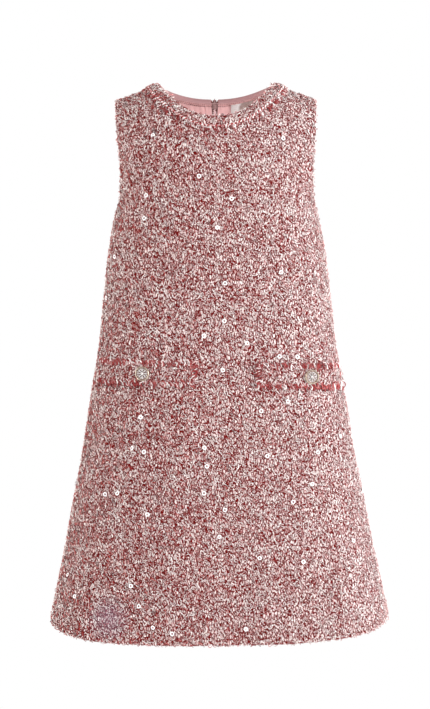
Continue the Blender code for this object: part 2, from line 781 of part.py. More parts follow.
def make_flap_fringe(name, flap):
    """Frayed edge round the top, the inner end and the bottom of a flap."""
    stations, corners = flap_border(flap)
    roots = []
    edges = []
    tips = []
    for step, (along, up, (side, rise)) in enumerate(stations):
        if step in corners:
            side, rise = -1.0, math.copysign(1.0, up)
        ring = []
        for out in (0.0, FRAY_STRIP):
            at = (along + side * out, up + rise * out)
            ring.append((on_flap(flap, *at, 0.0), on_flap(flap, *at, FRAY_THICK)))
        roots.append(ring[0])
        edges.append(ring[1])
    for step in range(len(stations) - 1):
        if step % 2 == 0:
            tips.append(None)
            continue
        along, up, _ = stations[step]
        next_along, next_up, _ = stations[step + 1]
        side, rise = stations[step][2]
        if step in corners:
            side, rise = stations[step + 1][2]
        share = 0.5 + STRAND_LEAN * strand_sway(step)
        out = FRAY_STRIP + strand_length(step, FLAP_STRAND)
        at = (along + (next_along - along) * share + side * out,
              up + (next_up - up) * share + rise * out)
        tips.append(on_flap(flap, *at, FRAY_THICK / 2 + STRAND_LIFT))
    frayed_strip("flap_" + name + "_fringe", roots, edges, tips)


def mesh_of(shape, name):
    """A mesh of a bmesh's faces, turned outwards."""
    mesh = bpy.data.meshes.new(name)
    bmesh.ops.recalc_face_normals(shape, faces=shape.faces)
    shape.to_mesh(mesh)
    shape.free()
    return mesh


def ring_of(shape, segments, radius_at, height_at):
    """Points round local Z. The radius and the height are functions of the angle."""
    ring = []
    for step in range(segments):
        angle = 2 * math.pi * step / segments
        radius = radius_at(angle) * MM
        place = (radius * math.cos(angle), radius * math.sin(angle), height_at(angle) * MM)
        ring.append(shape.verts.new(place))
    return ring


def close_rings(shape, rings):
    """Faces between rings of points, where a ring of one point is a pole."""
    for lower, upper in zip(rings, rings[1:]):
        count = max(len(lower), len(upper))
        for step in range(count):
            following = (step + 1) % count
            corners = [lower[step % len(lower)], lower[following % len(lower)],
                       upper[following % len(upper)], upper[step % len(upper)]]
            shape.faces.new(list(dict.fromkeys(corners)))


def turned_rings(shape, profile, segments):
    """Rings from a table of radii and heights. A radius of 0 gives a pole."""
    rings = []
    for row in profile:
        at = dict(zip(PROFILE_COLUMNS, row))
        count = segments if at["radius"] else 1
        rings.append(ring_of(shape, count, lambda _: at["radius"], lambda _: at["height"]))
    return rings


def petal_lobe(angle):
    """1 along the middle of each petal and 0 between two petals."""
    return (1 + math.cos(PETALS * angle)) / 2


def make_stones(name):
    """Faceted crystal petals round a domed centre stone, as one piece of glass."""
    shape = bmesh.new()
    rings = [[shape.verts.new((0.0, 0.0, 0.0))]]
    for row in PETAL_RINGS:
        at = dict(zip(PETAL_COLUMNS, row))

        def radius(angle):
            return (PETAL_IN + (PETAL_OUT - PETAL_IN) * petal_lobe(angle)) * at["share"]

        def height(angle):
            rise = at["ridge_height"] - at["valley_height"]
            return at["valley_height"] + rise * petal_lobe(angle)

        rings.append(ring_of(shape, PETAL_SEGMENTS, radius, height))
    rings += turned_rings(shape, STONE_RINGS, PETAL_SEGMENTS)
    close_rings(shape, rings)
    return put_in_scene(name, mesh_of(shape, name), "crystal", 15.0)


def placed(place, across, up, outward):
    """Matrix of a piece whose local X, Y and Z lie along across, up and outward."""
    matrix = Matrix([Vector(across), Vector(up), Vector(outward)]).transposed().to_4x4()
    matrix.translation = Vector(place) * MM
    return matrix


def make_button(name, flap):
    """A metal button with crystal petals, turned a little to the front on its shank."""
    along = flap["inner_end"] + flap["button_along"]
    place = on_flap(flap, along, 0.0, FLAP_THICK)
    normal = front_frame(flap["hand"], along, flap_height(flap, along))[1]
    turn = math.radians(flap["button_turn"]) * -flap["hand"]
    outward = Matrix.Rotation(turn, 3, "Z") @ Vector(normal)
    outward.z = 0.0
    outward.normalize()
    across = Vector((0.0, 0.0, 1.0)).cross(outward)
    across.normalize()
    tilt = math.sin(abs(turn)) + abs(normal[2])
    lift = LAYER_GAP + tilt * BUTTON_RADIUS
    place = place + np.array(outward) * lift
    shank = lift - LAYER_GAP - tilt * SHANK_RADIUS
    shank_profile = ((0.0, -shank), (SHANK_RADIUS, -shank), (SHANK_RADIUS, 0.0))
    matrix = placed(place, across, outward.cross(across), outward)
    shape = bmesh.new()
    close_rings(shape, turned_rings(shape, shank_profile + BUTTON_PROFILE, BUTTON_SEGMENTS))
    mesh = mesh_of(shape, "button_" + name)
    metal = put_in_scene("button_" + name, mesh, "button_metal", 30.0)
    metal.matrix_world = matrix
    stones = make_stones("button_" + name + "_stones")
    on_floor = (BUTTON_WELL_FLOOR + LAYER_GAP) * MM
    stones.matrix_world = matrix @ Matrix.Translation((0.0, 0.0, on_floor))


def make_flaps():
    names = {hand: name for name, hand in HANDS.items()}
    for row in FLAPS:
        flap = dict(zip(FLAP_COLUMNS, row))
        name = names[flap["hand"]]
        make_flap(name, flap)
        make_flap_fringe(name, flap)
        make_button(name, flap)


def box_mesh(name, low, high):
    """A box between two corners given as across, up and out."""
    corners = [(x, y, z) for x in (low[0], high[0]) for y in (low[1], high[1])
               for z in (low[2], high[2])]
    faces = [(0, 1, 3, 2), (4, 6, 7, 5), (0, 4, 5, 1), (2, 3, 7, 6), (0, 2, 6, 4), (1, 5, 7, 3)]
    return mesh_from(name, corners, faces)


def combine(target, box, operation):
    """Adds or cuts a helper box, which is left out of the render."""
    helper = bpy.data.objects.new(box["name"], box_mesh(**box))
    bpy.context.scene.collection.objects.link(helper)
    helper.matrix_world = target.matrix_world
    helper.hide_render = True
    helper.display_type = "WIRE"
    step = target.modifiers.new(helper.name, "BOOLEAN")
    step.operation = operation
    step.object = helper


def make_zip_slider(place, normal):
    """Crown and body either side of the cloth, and the bridge that the pull hangs from."""
    across = Vector((-1.0, 0.0, 0.0))
    outward = Vector(normal)
    up = outward.cross(across)
    boxes = [dict(zip(BOX_COLUMNS, row)) for row in SLIDER_BOXES]
    slider = put_in_scene("zip_slider", box_mesh(**boxes[0]), "zip_metal")
    slider.matrix_world = placed(place, across, up, outward)
    for box in boxes[1:]:
        combine(slider, box, "UNION")
    return slider.matrix_world.copy()


def make_zip_pull(slider_matrix):
    """The pull hangs by its bar through the slider's bridge."""
    rows = [dict(zip(PULL_COLUMNS, row)) for row in PULL_OUTLINE]
    outline = [(row["half_width"], row["up"]) for row in rows]
    outline += [(-row["half_width"], row["up"]) for row in reversed(rows)]
    shape = bmesh.new()
    verts = [shape.verts.new((x * MM, y * MM, -PULL_HALF_THICK * MM)) for x, y in outline]
    face = shape.faces.new(verts)
    raised = bmesh.ops.extrude_face_region(shape, geom=[face])
    moved = [item for item in raised["geom"] if isinstance(item, bmesh.types.BMVert)]
    bmesh.ops.translate(shape, verts=moved, vec=(0.0, 0.0, 2 * PULL_HALF_THICK * MM))
    pull = put_in_scene("zip_pull", mesh_of(shape, "zip_pull"), "zip_metal")
    pivot = Matrix.Translation((0.0, 0.0, PULL_PIVOT_OUT * MM))
    rest = Matrix.Rotation(math.radians(PULL_REST_TURN), 4, "X")
    pull.matrix_world = slider_matrix @ pivot @ rest
    combine(pull, dict(zip(BOX_COLUMNS, PULL_HOLE)), "DIFFERENCE")


clear_scene()
make_front()
slider_place, slider_normal = make_backs()
make_neck_trim()
make_neck_fringe()
make_flaps()
make_zip_pull(make_zip_slider(slider_place, slider_normal))
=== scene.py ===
"""The looks of a child's sleeveless shift dress in looped tweed, filled out as if worn.

Shapes are worked out in millimetres. The origin is midway between the two high shoulder points,
+Z is up, and the front faces -Y.
"""

import math

import bmesh
import bpy
import numpy as np
from mathutils import Matrix, Vector


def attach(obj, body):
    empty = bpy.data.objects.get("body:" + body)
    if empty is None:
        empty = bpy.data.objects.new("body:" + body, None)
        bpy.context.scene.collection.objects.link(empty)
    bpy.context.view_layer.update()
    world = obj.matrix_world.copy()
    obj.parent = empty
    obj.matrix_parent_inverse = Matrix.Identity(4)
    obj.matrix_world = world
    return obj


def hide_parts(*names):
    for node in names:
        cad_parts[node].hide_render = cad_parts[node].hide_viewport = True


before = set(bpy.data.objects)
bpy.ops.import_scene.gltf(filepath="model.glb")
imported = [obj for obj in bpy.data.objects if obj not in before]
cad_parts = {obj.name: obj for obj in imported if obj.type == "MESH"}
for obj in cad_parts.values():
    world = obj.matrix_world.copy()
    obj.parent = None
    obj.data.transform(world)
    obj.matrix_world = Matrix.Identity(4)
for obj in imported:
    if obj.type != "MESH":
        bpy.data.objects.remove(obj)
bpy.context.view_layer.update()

# Front and backs
# One front and two backs cut in looped tweed, a loose woven cloth of curled yarns. They are sewn
# at the shoulders and sides and hang filled out, as a wall of cloth round a hollow body.

MM = 0.001
LEFT = 1
RIGHT = -1
HANDS = {"left": LEFT, "right": RIGHT}
FACING_Y = {"front": -1.0, "back": 1.0}

TWEED = 2.4
UNDERARM = -136.0
HEM_AT_CENTRE = -587.0
HEM_RISE_AT_SIDE = {LEFT: 11.5, RIGHT: 9.0}
SECTION_COLUMNS = ("height", "half_width", "front_depth", "back_depth", "squareness")
SECTIONS = (
    (-590.0, 187.6, 131.0, 123.0, 3.15),
    (-509.0, 170.0, 120.0, 111.0, 2.80),
    (-453.0, 159.0, 112.0, 102.0, 2.68),
    (-398.0, 148.2, 105.0, 94.0, 2.65),
    (-343.0, 139.2, 98.0, 88.0, 2.65),
    (-276.0, 127.8, 91.5, 82.0, 2.65),
    (-232.0, 123.0, 88.5, 79.0, 2.60),
    (-177.0, 116.5, 85.5, 79.0, 2.55),
    (UNDERARM, 108.9, 84.0, 80.0, 2.50),
)
NECK_HALF_WIDTH = 61.0
SHOULDER_TIP = 107.0
SHOULDER_FALL = 0.37
RIDGE_SOFTNESS = 14.0
SHOULDER_BREADTH = 118.0
ARMHOLE_COLUMNS = ("rise", "half_width", "breadth")
ARMHOLE = (
    (0.00, 108.9, 108.9),
    (0.05, 106.4, 108.5),
    (0.11, 104.8, 108.7),
    (0.26, 103.4, 111.4),
    (0.45, 103.4, 115.5),
    (0.60, 104.8, SHOULDER_BREADTH),
    (0.74, 106.4, SHOULDER_BREADTH),
    (0.92, 107.2, SHOULDER_BREADTH),
    (1.00, SHOULDER_TIP, SHOULDER_BREADTH),
)
NECK_SQUARENESS = 2.3
NECK_DEPTH = {"front": 62.0, "back": 46.5}
OVER_SQUARENESS = {"front": 2.3, "back": 2.5}
CHEST_DEPTH = {"front": 84.0, "back": 80.0}

# Soft folds of the skirt, each deepest at the hem: a signed distance from the centre line
FOLD_COLUMNS = ("side", "along", "depth", "half_width", "top")
FOLDS = (
    ("front", -92.0, 3.2, 26.0, -330.0),
    ("front", 20.0, 1.8, 24.0, -400.0),
    ("front", 108.0, 2.6, 24.0, -360.0),
    ("back", -96.0, 3.0, 26.0, -340.0),
    ("back", 84.0, 3.4, 28.0, -320.0),
)

# Smaller creases. A minus depth is a ridge; lean is the drift in along for each
# millimetre of height
CREASE_COLUMNS = ("side", "along", "height", "reach", "half_width", "depth", "lean")
CREASES = (
    ("front", -96.0, -168.0, 46.0, 9.0, 1.5, 0.55),
    ("front", 99.0, -172.0, 40.0, 8.0, 1.3, -0.60),
    ("front", -64.0, -214.0, 52.0, 14.0, 1.1, 0.20),
    ("front", 58.0, -236.0, 60.0, 15.0, 0.9, -0.12),
    ("front", -118.0, -392.0, 70.0, 12.0, 1.3, 0.10),
    ("front", -42.0, -452.0, 90.0, 17.0, -1.1, 0.05),
    ("front", 66.0, -486.0, 76.0, 15.0, 1.2, -0.06),
    ("front", 138.0, -520.0, 60.0, 11.0, -1.2, -0.14),
    ("front", -150.0, -540.0, 52.0, 10.0, -1.4, 0.12),
    ("back", -92.0, -172.0, 44.0, 9.0, 1.4, 0.50),
    ("back", 94.0, -166.0, 48.0, 9.0, 1.5, -0.55),
    ("back", -40.0, -262.0, 66.0, 15.0, 1.2, 0.12),
    ("back", 52.0, -228.0, 54.0, 14.0, 1.0, -0.16),
    ("back", -130.0, -470.0, 80.0, 14.0, 1.4, 0.10),
    ("back", -34.0, -500.0, 70.0, 16.0, -1.2, 0.04),
    ("back", 44.0, -430.0, 86.0, 17.0, 1.1, -0.05),
    ("back", 140.0, -530.0, 56.0, 11.0, -1.3, -0.12),
)

NECK_STEPS = 26
STRAP_STEPS = 16
SKIRT_STEPS = 100
YOKE_STEPS = 44
CURVE_SAMPLES = 241
# Half the width that the seams at the centre back and at the sides keep open
SEAM_GAP = 0.15
# Creases fade out over this share of the yoke's rows
CREASES_FADE_BY = 1 / 4


def ease(value):
    """Smooth step from 0 to 1."""
    held = np.clip(value, 0.0, 1.0)
    return held * held * (3.0 - 2.0 * held)


def unit(vectors):
    return vectors / np.maximum(np.linalg.norm(vectors, axis=-1, keepdims=True), 1e-9)


def rows_of(columns, table):
    """The rows of a table, each by the names of its columns."""
    return [dict(zip(columns, row)) for row in table]


def lengths(points, axis=0):
    """Length run from the start along one axis of a list or grid of points."""
    steps = np.cumsum(np.linalg.norm(np.diff(points, axis=axis), axis=-1), axis=axis)
    return np.concatenate([np.zeros_like(steps.take([0], axis=axis)), steps], axis=axis)


def read_table(table, columns, name, at):
    """A smooth curve through one column of a table, read at the value of its first column."""
    knots = np.array([row[0] for row in table])
    values = np.array([row[columns.index(name)] for row in table])
    slopes = np.gradient(values, knots)
    at = np.clip(np.asarray(at, float), knots[0], knots[-1])
    low = np.clip(np.searchsorted(knots, at) - 1, 0, len(knots) - 2)
    span = knots[low + 1] - knots[low]
    part = (at - knots[low]) / span
    start = (1 + 2 * part) * (1 - part) ** 2 * values[low]
    start = start + part * (1 - part) ** 2 * span * slopes[low]
    end = part**2 * (3 - 2 * part) * values[low + 1]
    return start + end + part**2 * (part - 1) * span * slopes[low + 1]


def section(height, name):
    return read_table(SECTIONS, SECTION_COLUMNS, name, height)


def crease_depth(side, along, height):
    """How far the cloth is drawn in by its folds and creases at points of a panel."""
    depth = np.zeros(np.broadcast(along, height).shape)
    for fold in rows_of(FOLD_COLUMNS, FOLDS):
        if fold["side"] == side:
            across = np.exp(-(((along - fold["along"]) / fold["half_width"]) ** 2))
            fallen = (fold["top"] - height) / (fold["top"] - HEM_AT_CENTRE)
            depth = depth + fold["depth"] * across * ease(fallen)
    for crease in rows_of(CREASE_COLUMNS, CREASES):
        if crease["side"] == side:
            centre = crease["along"] + crease["lean"] * (height - crease["height"])
            across = (along - centre) / crease["half_width"]
            down = (height - crease["height"]) / crease["reach"]
            depth = depth + crease["depth"] * np.exp(-(across**2) - down**2)
    return depth


def skirt_points(side, hand, height, fraction=None, along=None):
    """Outer surface below the underarm, at lists of heights and of places round the cloth.

    fraction runs evenly from 0 at the centre line to 1 at the side seam. Where along is given,
    it is the distance round the cloth instead.
    """
    height = np.asarray(height, float)
    turn = np.linspace(0.0, math.pi / 2, CURVE_SAMPLES)
    power = 2.0 / section(height, "squareness")[:, None]
    x = section(height, "half_width")[:, None] * np.sin(turn) ** power
    y = section(height, side + "_depth")[:, None] * np.cos(turn) ** power
    steps = np.hypot(np.diff(x, axis=1), np.diff(y, axis=1))
    length = np.concatenate([np.zeros((len(height), 1)), np.cumsum(steps, axis=1)], axis=1)
    wanted = np.asarray(fraction) * length[:, -1] if along is None else np.asarray(along, float)
    place = np.array([[np.interp(at, row, line) for line in (xs, ys)]
                      for at, row, xs, ys in zip(wanted, length, x, y)])
    inward = crease_depth(side, hand * wanted, height)
    place = place * (1.0 - inward / np.maximum(np.hypot(*place.T), 1.0))[:, None]
    return np.column_stack([hand * place[:, 0], FACING_Y[side] * place[:, 1], height])


def ridge_height(x):
    """Height of the line that the shoulder seam follows, eased where it meets the neck."""
    past = np.abs(x) - NECK_HALF_WIDTH
    rounded = (past + np.hypot(past, RIDGE_SOFTNESS)) / 2
    return SHOULDER_FALL * (RIDGE_SOFTNESS / 2 - rounded)


def depth_over(side, x, breadth):
    """Depth of the yoke over the point x, before it leans in towards the shoulder."""
    power = float(section(UNDERARM, "squareness"))
    share = np.clip(np.abs(x) / breadth, 0.0, 1.0)
    return CHEST_DEPTH[side] * (1.0 - share**power) ** (1.0 / power)


def neck_edge(turn):
    """Plan of the neck edge and its outward direction. turn is 0 in front, 180 behind."""
    angle = math.radians(turn)
    depth = NECK_DEPTH["front"] if abs(turn) < 90 else NECK_DEPTH["back"]
    power = 2.0 / NECK_SQUARENESS
    sine = math.copysign(abs(math.sin(angle)) ** power, math.sin(angle))
    cosine = math.copysign(abs(math.cos(angle)) ** power, math.cos(angle))
    rest = NECK_SQUARENESS - 1
    across = math.copysign(abs(sine) ** rest, sine) / NECK_HALF_WIDTH
    forward = -math.copysign(abs(cosine) ** rest, cosine) / depth
    outward = np.array([across, forward])
    return np.array([NECK_HALF_WIDTH * sine, -depth * cosine]), unit(outward)


def skirt_grid(side, hand):
    """Outer points from the hem to just below the underarm, row by row."""
    columns = NECK_STEPS + STRAP_STEPS + 1
    fraction = np.tile(np.linspace(0.0, 1.0, columns), SKIRT_STEPS)
    step = np.repeat(np.arange(SKIRT_STEPS), columns) / SKIRT_STEPS
    hem = HEM_AT_CENTRE + HEM_RISE_AT_SIDE[hand] * np.sin(fraction * math.pi / 2) ** 4
    height = hem + (UNDERARM - hem) * step
    return skirt_points(side, hand, height, fraction).reshape(SKIRT_STEPS, columns, 3)


def yoke_grid(side, hand):
    """Outer points from the underarm to the neck edge and the shoulder seam."""
    fractions = np.linspace(0.0, 1.0, NECK_STEPS + STRAP_STEPS + 1)
    under = skirt_points(side, hand, np.full(len(fractions), UNDERARM), fractions)
    low_x = np.abs(under[:, 0])
    neck = np.array([neck_edge(turn)[0] for turn in np.linspace(0.0, 90.0, NECK_STEPS + 1)])
    strap_x = np.linspace(NECK_HALF_WIDTH, SHOULDER_TIP, STRAP_STEPS + 1)[1:]
    top_x = np.concatenate([neck[:, 0], strap_x])
    reach = np.abs(neck[:, 1]) / NECK_DEPTH["front"] * NECK_DEPTH[side]
    reach = np.concatenate([reach, np.zeros(STRAP_STEPS)])
    power = OVER_SQUARENESS[side]
    share = np.clip(reach / depth_over(side, top_x, SHOULDER_BREADTH), 0.0, 1.0)
    top_turn = np.arccos(share ** (power / 2))
    rows = []
    for step in range(YOKE_STEPS + 1):
        part = (1.0 - math.cos(math.pi * step / YOKE_STEPS)) / 2
        turn = top_turn * part
        rise = math.sin(math.pi / 2 * part) ** (2 / power)
        edge = float(read_table(ARMHOLE, ARMHOLE_COLUMNS, "half_width", rise))
        x = low_x + (top_x - low_x) * part
        x = x * edge / x[-1]
        breadth = float(read_table(ARMHOLE, ARMHOLE_COLUMNS, "breadth", rise))
        y = depth_over(side, x, breadth) * np.clip(np.cos(turn), 0.0, 1.0) ** (2 / power)
        z = UNDERARM + (ridge_height(x) - UNDERARM) * np.sin(turn) ** (2 / power)
        fade = ease(1.0 - part / CREASES_FADE_BY)
        y = y - crease_depth(side, hand * x, z) * fade
        rows.append(np.column_stack([hand * x, FACING_Y[side] * y, z]))
    return np.array(rows)


def half_panel(side, hand):
    """Outer points of half a panel: rows from the hem up, columns from the centre line out."""
    grid = np.concatenate([skirt_grid(side, hand), yoke_grid(side, hand)])
    grid[:, :, 1] = FACING_Y[side] * np.maximum(np.abs(grid[:, :, 1]), SEAM_GAP)
    grid[:, 0, 0] = 0.0
    return grid


def outward_normals(grid):
    """Normals of a grid of points that wraps a hollow round the Z axis."""
    normals = np.cross(np.gradient(grid, axis=1), np.gradient(grid, axis=0))
    outward = grid - np.array([0.0, 0.0, UNDERARM])
    outward[:, :, 2] = np.maximum(outward[:, :, 2], 0.0)
    return unit(normals * np.sign(np.sum(normals * outward, axis=2))[:, :, None])


def cloth_place(grid):
    """Where each point lies on the flat cloth: distance from the centre line and up from the hem."""
    along = lengths(grid, 1)
    middle = int(np.argmin(np.abs(grid[0, :, 0])))
    return np.stack([along - along[:, middle : middle + 1], lengths(grid)], axis=2)


def strip_faces(rows, columns, start=0, flip=False):
    """Quads of a grid of points, in the order that their indices run."""
    row, column = np.meshgrid(np.arange(rows - 1), np.arange(columns - 1), indexing="ij")
    corner = (start + row * columns + column).ravel()
    quads = np.column_stack([corner, corner + 1, corner + columns + 1, corner + columns])
    return quads[:, ::-1] if flip else quads


def write_place(mesh, place, side_vectors):
    """Keeps each point's place on the cloth, in metres, and the direction of its weft."""
    flat = np.column_stack([place * MM, np.zeros(len(place))])
    for name, values in (("place", flat), ("weft", side_vectors)):
        kept = mesh.attributes.new(name, "FLOAT_VECTOR", "POINT")
        kept.data.foreach_set("vector", values.ravel())


def add_uv(mesh, place):
    """A UV map in metres of cloth."""
    layer = mesh.uv_layers.new(name="cloth")
    corners = np.empty(len(mesh.loops), np.int32)
    mesh.loops.foreach_get("vertex_index", corners)
    layer.data.foreach_set("uv", (place[corners] * MM).ravel())


def new_object(name, data):
    obj = bpy.data.objects.new(name, data)
    bpy.context.scene.collection.objects.link(obj)
    return obj


def put_in_scene(name, mesh, material, sharp_from=50.0):
    mesh.materials.append(material)
    mesh.shade_smooth()
    mesh.set_sharp_from_angle(angle=math.radians(sharp_from))
    return new_object(name, mesh)


def outward_mesh(shape, mesh):
    """Writes a bmesh to a mesh with its faces turned outwards."""
    bmesh.ops.recalc_face_normals(shape, faces=shape.faces)
    shape.to_mesh(mesh)
    shape.free()
    return mesh


def closed_mesh(name, points, faces):
    """A mesh from points in millimetres, its faces turned outwards."""
    mesh = bpy.data.meshes.new(name)
    mesh.from_pydata((points * MM).tolist(), [], faces)
    shape = bmesh.new()
    shape.from_mesh(mesh)
    return outward_mesh(shape, mesh)


def cloth_piece(piece, slot, *nodes):
    """A piece that rides with the dress, in place of CAD nodes if named. Its slot is not used."""
    if nodes:
        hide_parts(*nodes)
    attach(piece, "dress")
    return piece


def shell(name, outer, inward, thick, place, material, roll=0.0):
    """A closed thin wall: an outer grid, an inner one moved in, and a rounded edge between."""
    rows, columns = outer.shape[:2]
    count = rows * columns
    inner = outer + inward * thick
    border = list(range(columns))
    border += [row * columns + columns - 1 for row in range(1, rows)]
    border += [(rows - 1) * columns + column for column in reversed(range(columns - 1))]
    border += [row * columns for row in reversed(range(1, rows - 1))]
    row_of = np.array(border) // columns
    column_of = np.array(border) % columns
    next_in = outer[np.clip(row_of, 1, rows - 2), np.clip(column_of, 1, columns - 2)]
    edge = outer[row_of, column_of]
    rim = (edge + inner[row_of, column_of]) / 2 + unit(edge - next_in) * thick * roll
    points = np.concatenate([outer.reshape(-1, 3), inner.reshape(-1, 3), rim])
    faces = strip_faces(rows, columns).tolist()
    faces += strip_faces(rows, columns, count, flip=True).tolist()
    for step, start in enumerate(border):
        following = (step + 1) % len(border)
        end = border[following]
        faces.append([start, 2 * count + step, 2 * count + following, end])
        faces.append([2 * count + step, count + start, count + end, 2 * count + following])
    mesh = closed_mesh(name, points, faces)
    weft = np.gradient(outer, axis=1).reshape(-1, 3)
    places = np.concatenate([place.reshape(-1, 2)] * 2 + [place[row_of, column_of]])
    wefts = np.concatenate([weft, weft, weft[np.array(border)]])
    write_place(mesh, places, unit(wefts))
    add_uv(mesh, places)
    return put_in_scene(name, mesh, material)


VALUE_KINDS = {int: "Int", float: "Float", tuple: "Color"}


def new_group(name, inputs, outputs, kind="ShaderNodeTree"):
    """A node group, what it is given and what it gives out.

    Each input has a value, or the kind of socket where it has none, as each output has.
    """
    group = bpy.data.node_groups.new(name, kind)
    for label, value in inputs.items():
        plain = isinstance(value, str)
        socket_kind = value if plain else VALUE_KINDS[type(value)]
        socket = group.interface.new_socket(label, in_out="INPUT",
                                            socket_type="NodeSocket" + socket_kind)
        if not plain:
            socket.default_value = value
    for label, socket_kind in outputs.items():
        group.interface.new_socket(label, in_out="OUTPUT", socket_type="NodeSocket" + socket_kind)
    given = group.nodes.new("NodeGroupInput").outputs
    return group, given, group.nodes.new("NodeGroupOutput").inputs


def wire(tree, source, target):
    tree.links.new(source, target)


def node(tree, kind, settings=(), **inputs):
    """A node with its settings and its inputs, each a value or another node's output.

    An input is named by its label with _ for a space, or by in and its number.
    """
    made = tree.nodes.new(kind)
    for key, value in dict(settings).items():
        setattr(made, key, value)
    for key, value in inputs.items():
        numbered = key.startswith("in") and key[2:].isdigit()
        socket = made.inputs[int(key[2:])] if numbered else made.inputs[key.replace("_", " ")]
        if isinstance(value, bpy.types.NodeSocket):
            wire(tree, value, socket)
        else:
            socket.default_value = value
    return made


def maths(tree, operation, first, second=0.0, third=0.0):
    made = node(tree, "ShaderNodeMath", {"operation": operation}, in0=first, in1=second, in2=third)
    return made.outputs[0]


def axes(tree, place):
    return node(tree, "ShaderNodeSeparateXYZ", in0=place).outputs


def noise(tree, place, scale, detail=2.0, output="Fac"):
    made = node(tree, "ShaderNodeTexNoise", Vector=place, Scale=scale, Detail=detail)
    return made.outputs[output]


def ramp(tree, factor, stops, interpolation="LINEAR"):
    """A colour ramp from (position, colour) pairs."""
    made = node(tree, "ShaderNodeValToRGB", in0=factor)
    made.color_ramp.interpolation = interpolation
    while len(made.color_ramp.elements) < len(stops):
        made.color_ramp.elements.new(1.0)
    for element, (position, colour) in zip(made.color_ramp.elements, stops):
        element.position = position
        element.color = (*colour, 1.0)
    return made.outputs["Color"]


def blend_colours(tree, factor, first, second, blend="MIX"):
    made = node(tree, "ShaderNodeMix", {"data_type": "RGBA", "blend_type": blend}, in0=factor,
                in6=first, in7=second)
    return made.outputs[2]


# Colours of the woven ground, each at its stop on a ramp
GROUND_STOPS = (
    (0.36, (0.300, 0.050, 0.050)),
    (0.46, (0.540, 0.280, 0.270)),
    (0.54, (0.680, 0.470, 0.460)),
    (0.64, (0.790, 0.670, 0.660)),
)
# A faint windowpane of paler yarns is woven in: its pitch across and up, in metres of cloth
PANE_ACROSS = 0.0270
PANE_UP = 0.0255
PANE_LINE = 0.0022
PANE_WANDER = (0.004, 0.004, 0.0)
PANE_WANDER_SCALE = 60.0
PANE_SOFTNESS = 0.3
PANE_YARN = (0.880, 0.810, 0.795, 1.0)
PANE_LIFT = 0.20
PANE_CLOSER = 0.13


def wandering(tree, place, scale, reach):
    """A place moved about at random, by up to the reach on each axis."""
    wander = noise(tree, place, scale, 1.0, "Color")
    return node(tree, "ShaderNodeVectorMath", {"operation": "MULTIPLY_ADD"}, in0=wander,
                in1=reach, in2=place).outputs[0]


def make_pane_group():
    """Where the paler lines of the windowpane run, from 0 to 1."""
    group, given, out = new_group(
        "windowpane",
        {"Place": "Vector", "Across": PANE_ACROSS, "Up": PANE_UP, "Line": PANE_LINE},
        {"Mask": "Float"})
    parts = axes(group, wandering(group, given["Place"], PANE_WANDER_SCALE, PANE_WANDER))
    lines = []
    for part, pitch in zip(parts, ("Across", "Up")):
        off = maths(group, "PINGPONG", part, maths(group, "MULTIPLY", given[pitch], 0.5))
        off = maths(group, "DIVIDE", off, given["Line"])
        lines.append(maths(group, "SMOOTH_MIN", off, 1.0, PANE_SOFTNESS))
    mask = maths(group, "SUBTRACT", 1.0, maths(group, "MINIMUM", *lines))
    wire(group, maths(group, "MAXIMUM", mask, 0.0), out["Mask"])
    return group


pane_group = make_pane_group()


# Painted sheen: the yarns are painted paler towards the wearer's left, where the key light
# falls: from and to, in metres, and how much
PAINTED_SHEEN_FROM = -0.06
PAINTED_SHEEN_TO = 0.17
PAINTED_SHEEN_LIFT = 0.36
PAINTED_SHEEN_COLOUR = (0.870, 0.840, 0.832, 1.0)
# One place near the hem is faded mauve
FADED_AT = (-0.122, -0.117, -0.561)
FADED_CORE = 0.006
FADED_REACH = 0.027
FADED_SHARE = 0.34
FADED_COLOUR = (0.290, 0.215, 0.310, 1.0)
# Bits of yarn: how many to a metre, the gap between them, and how they lean, wander and vary
BITS_PER_METRE = 460.0
YARN_GAP = 0.135
GROUND_GAP = 0.17
GAP_SOFTNESS = 0.03
GAP_COLOUR = (0.145, 0.006, 0.006, 1.0)
BIT_VARIATION = 0.8
BIT_COLOUR = (0.895, 0.825, 0.806, 1.0)
BIT_LEANS = (0.98, -0.86)
BIT_STRETCH = (1.0, 1.0, 0.42)
BIT_WANDER = (0.0018, 0.0018, 0.0018)
BIT_WANDER_SCALE = 320.0
PICKED_SCALE = 180.0
PICKED_FROM = 0.53


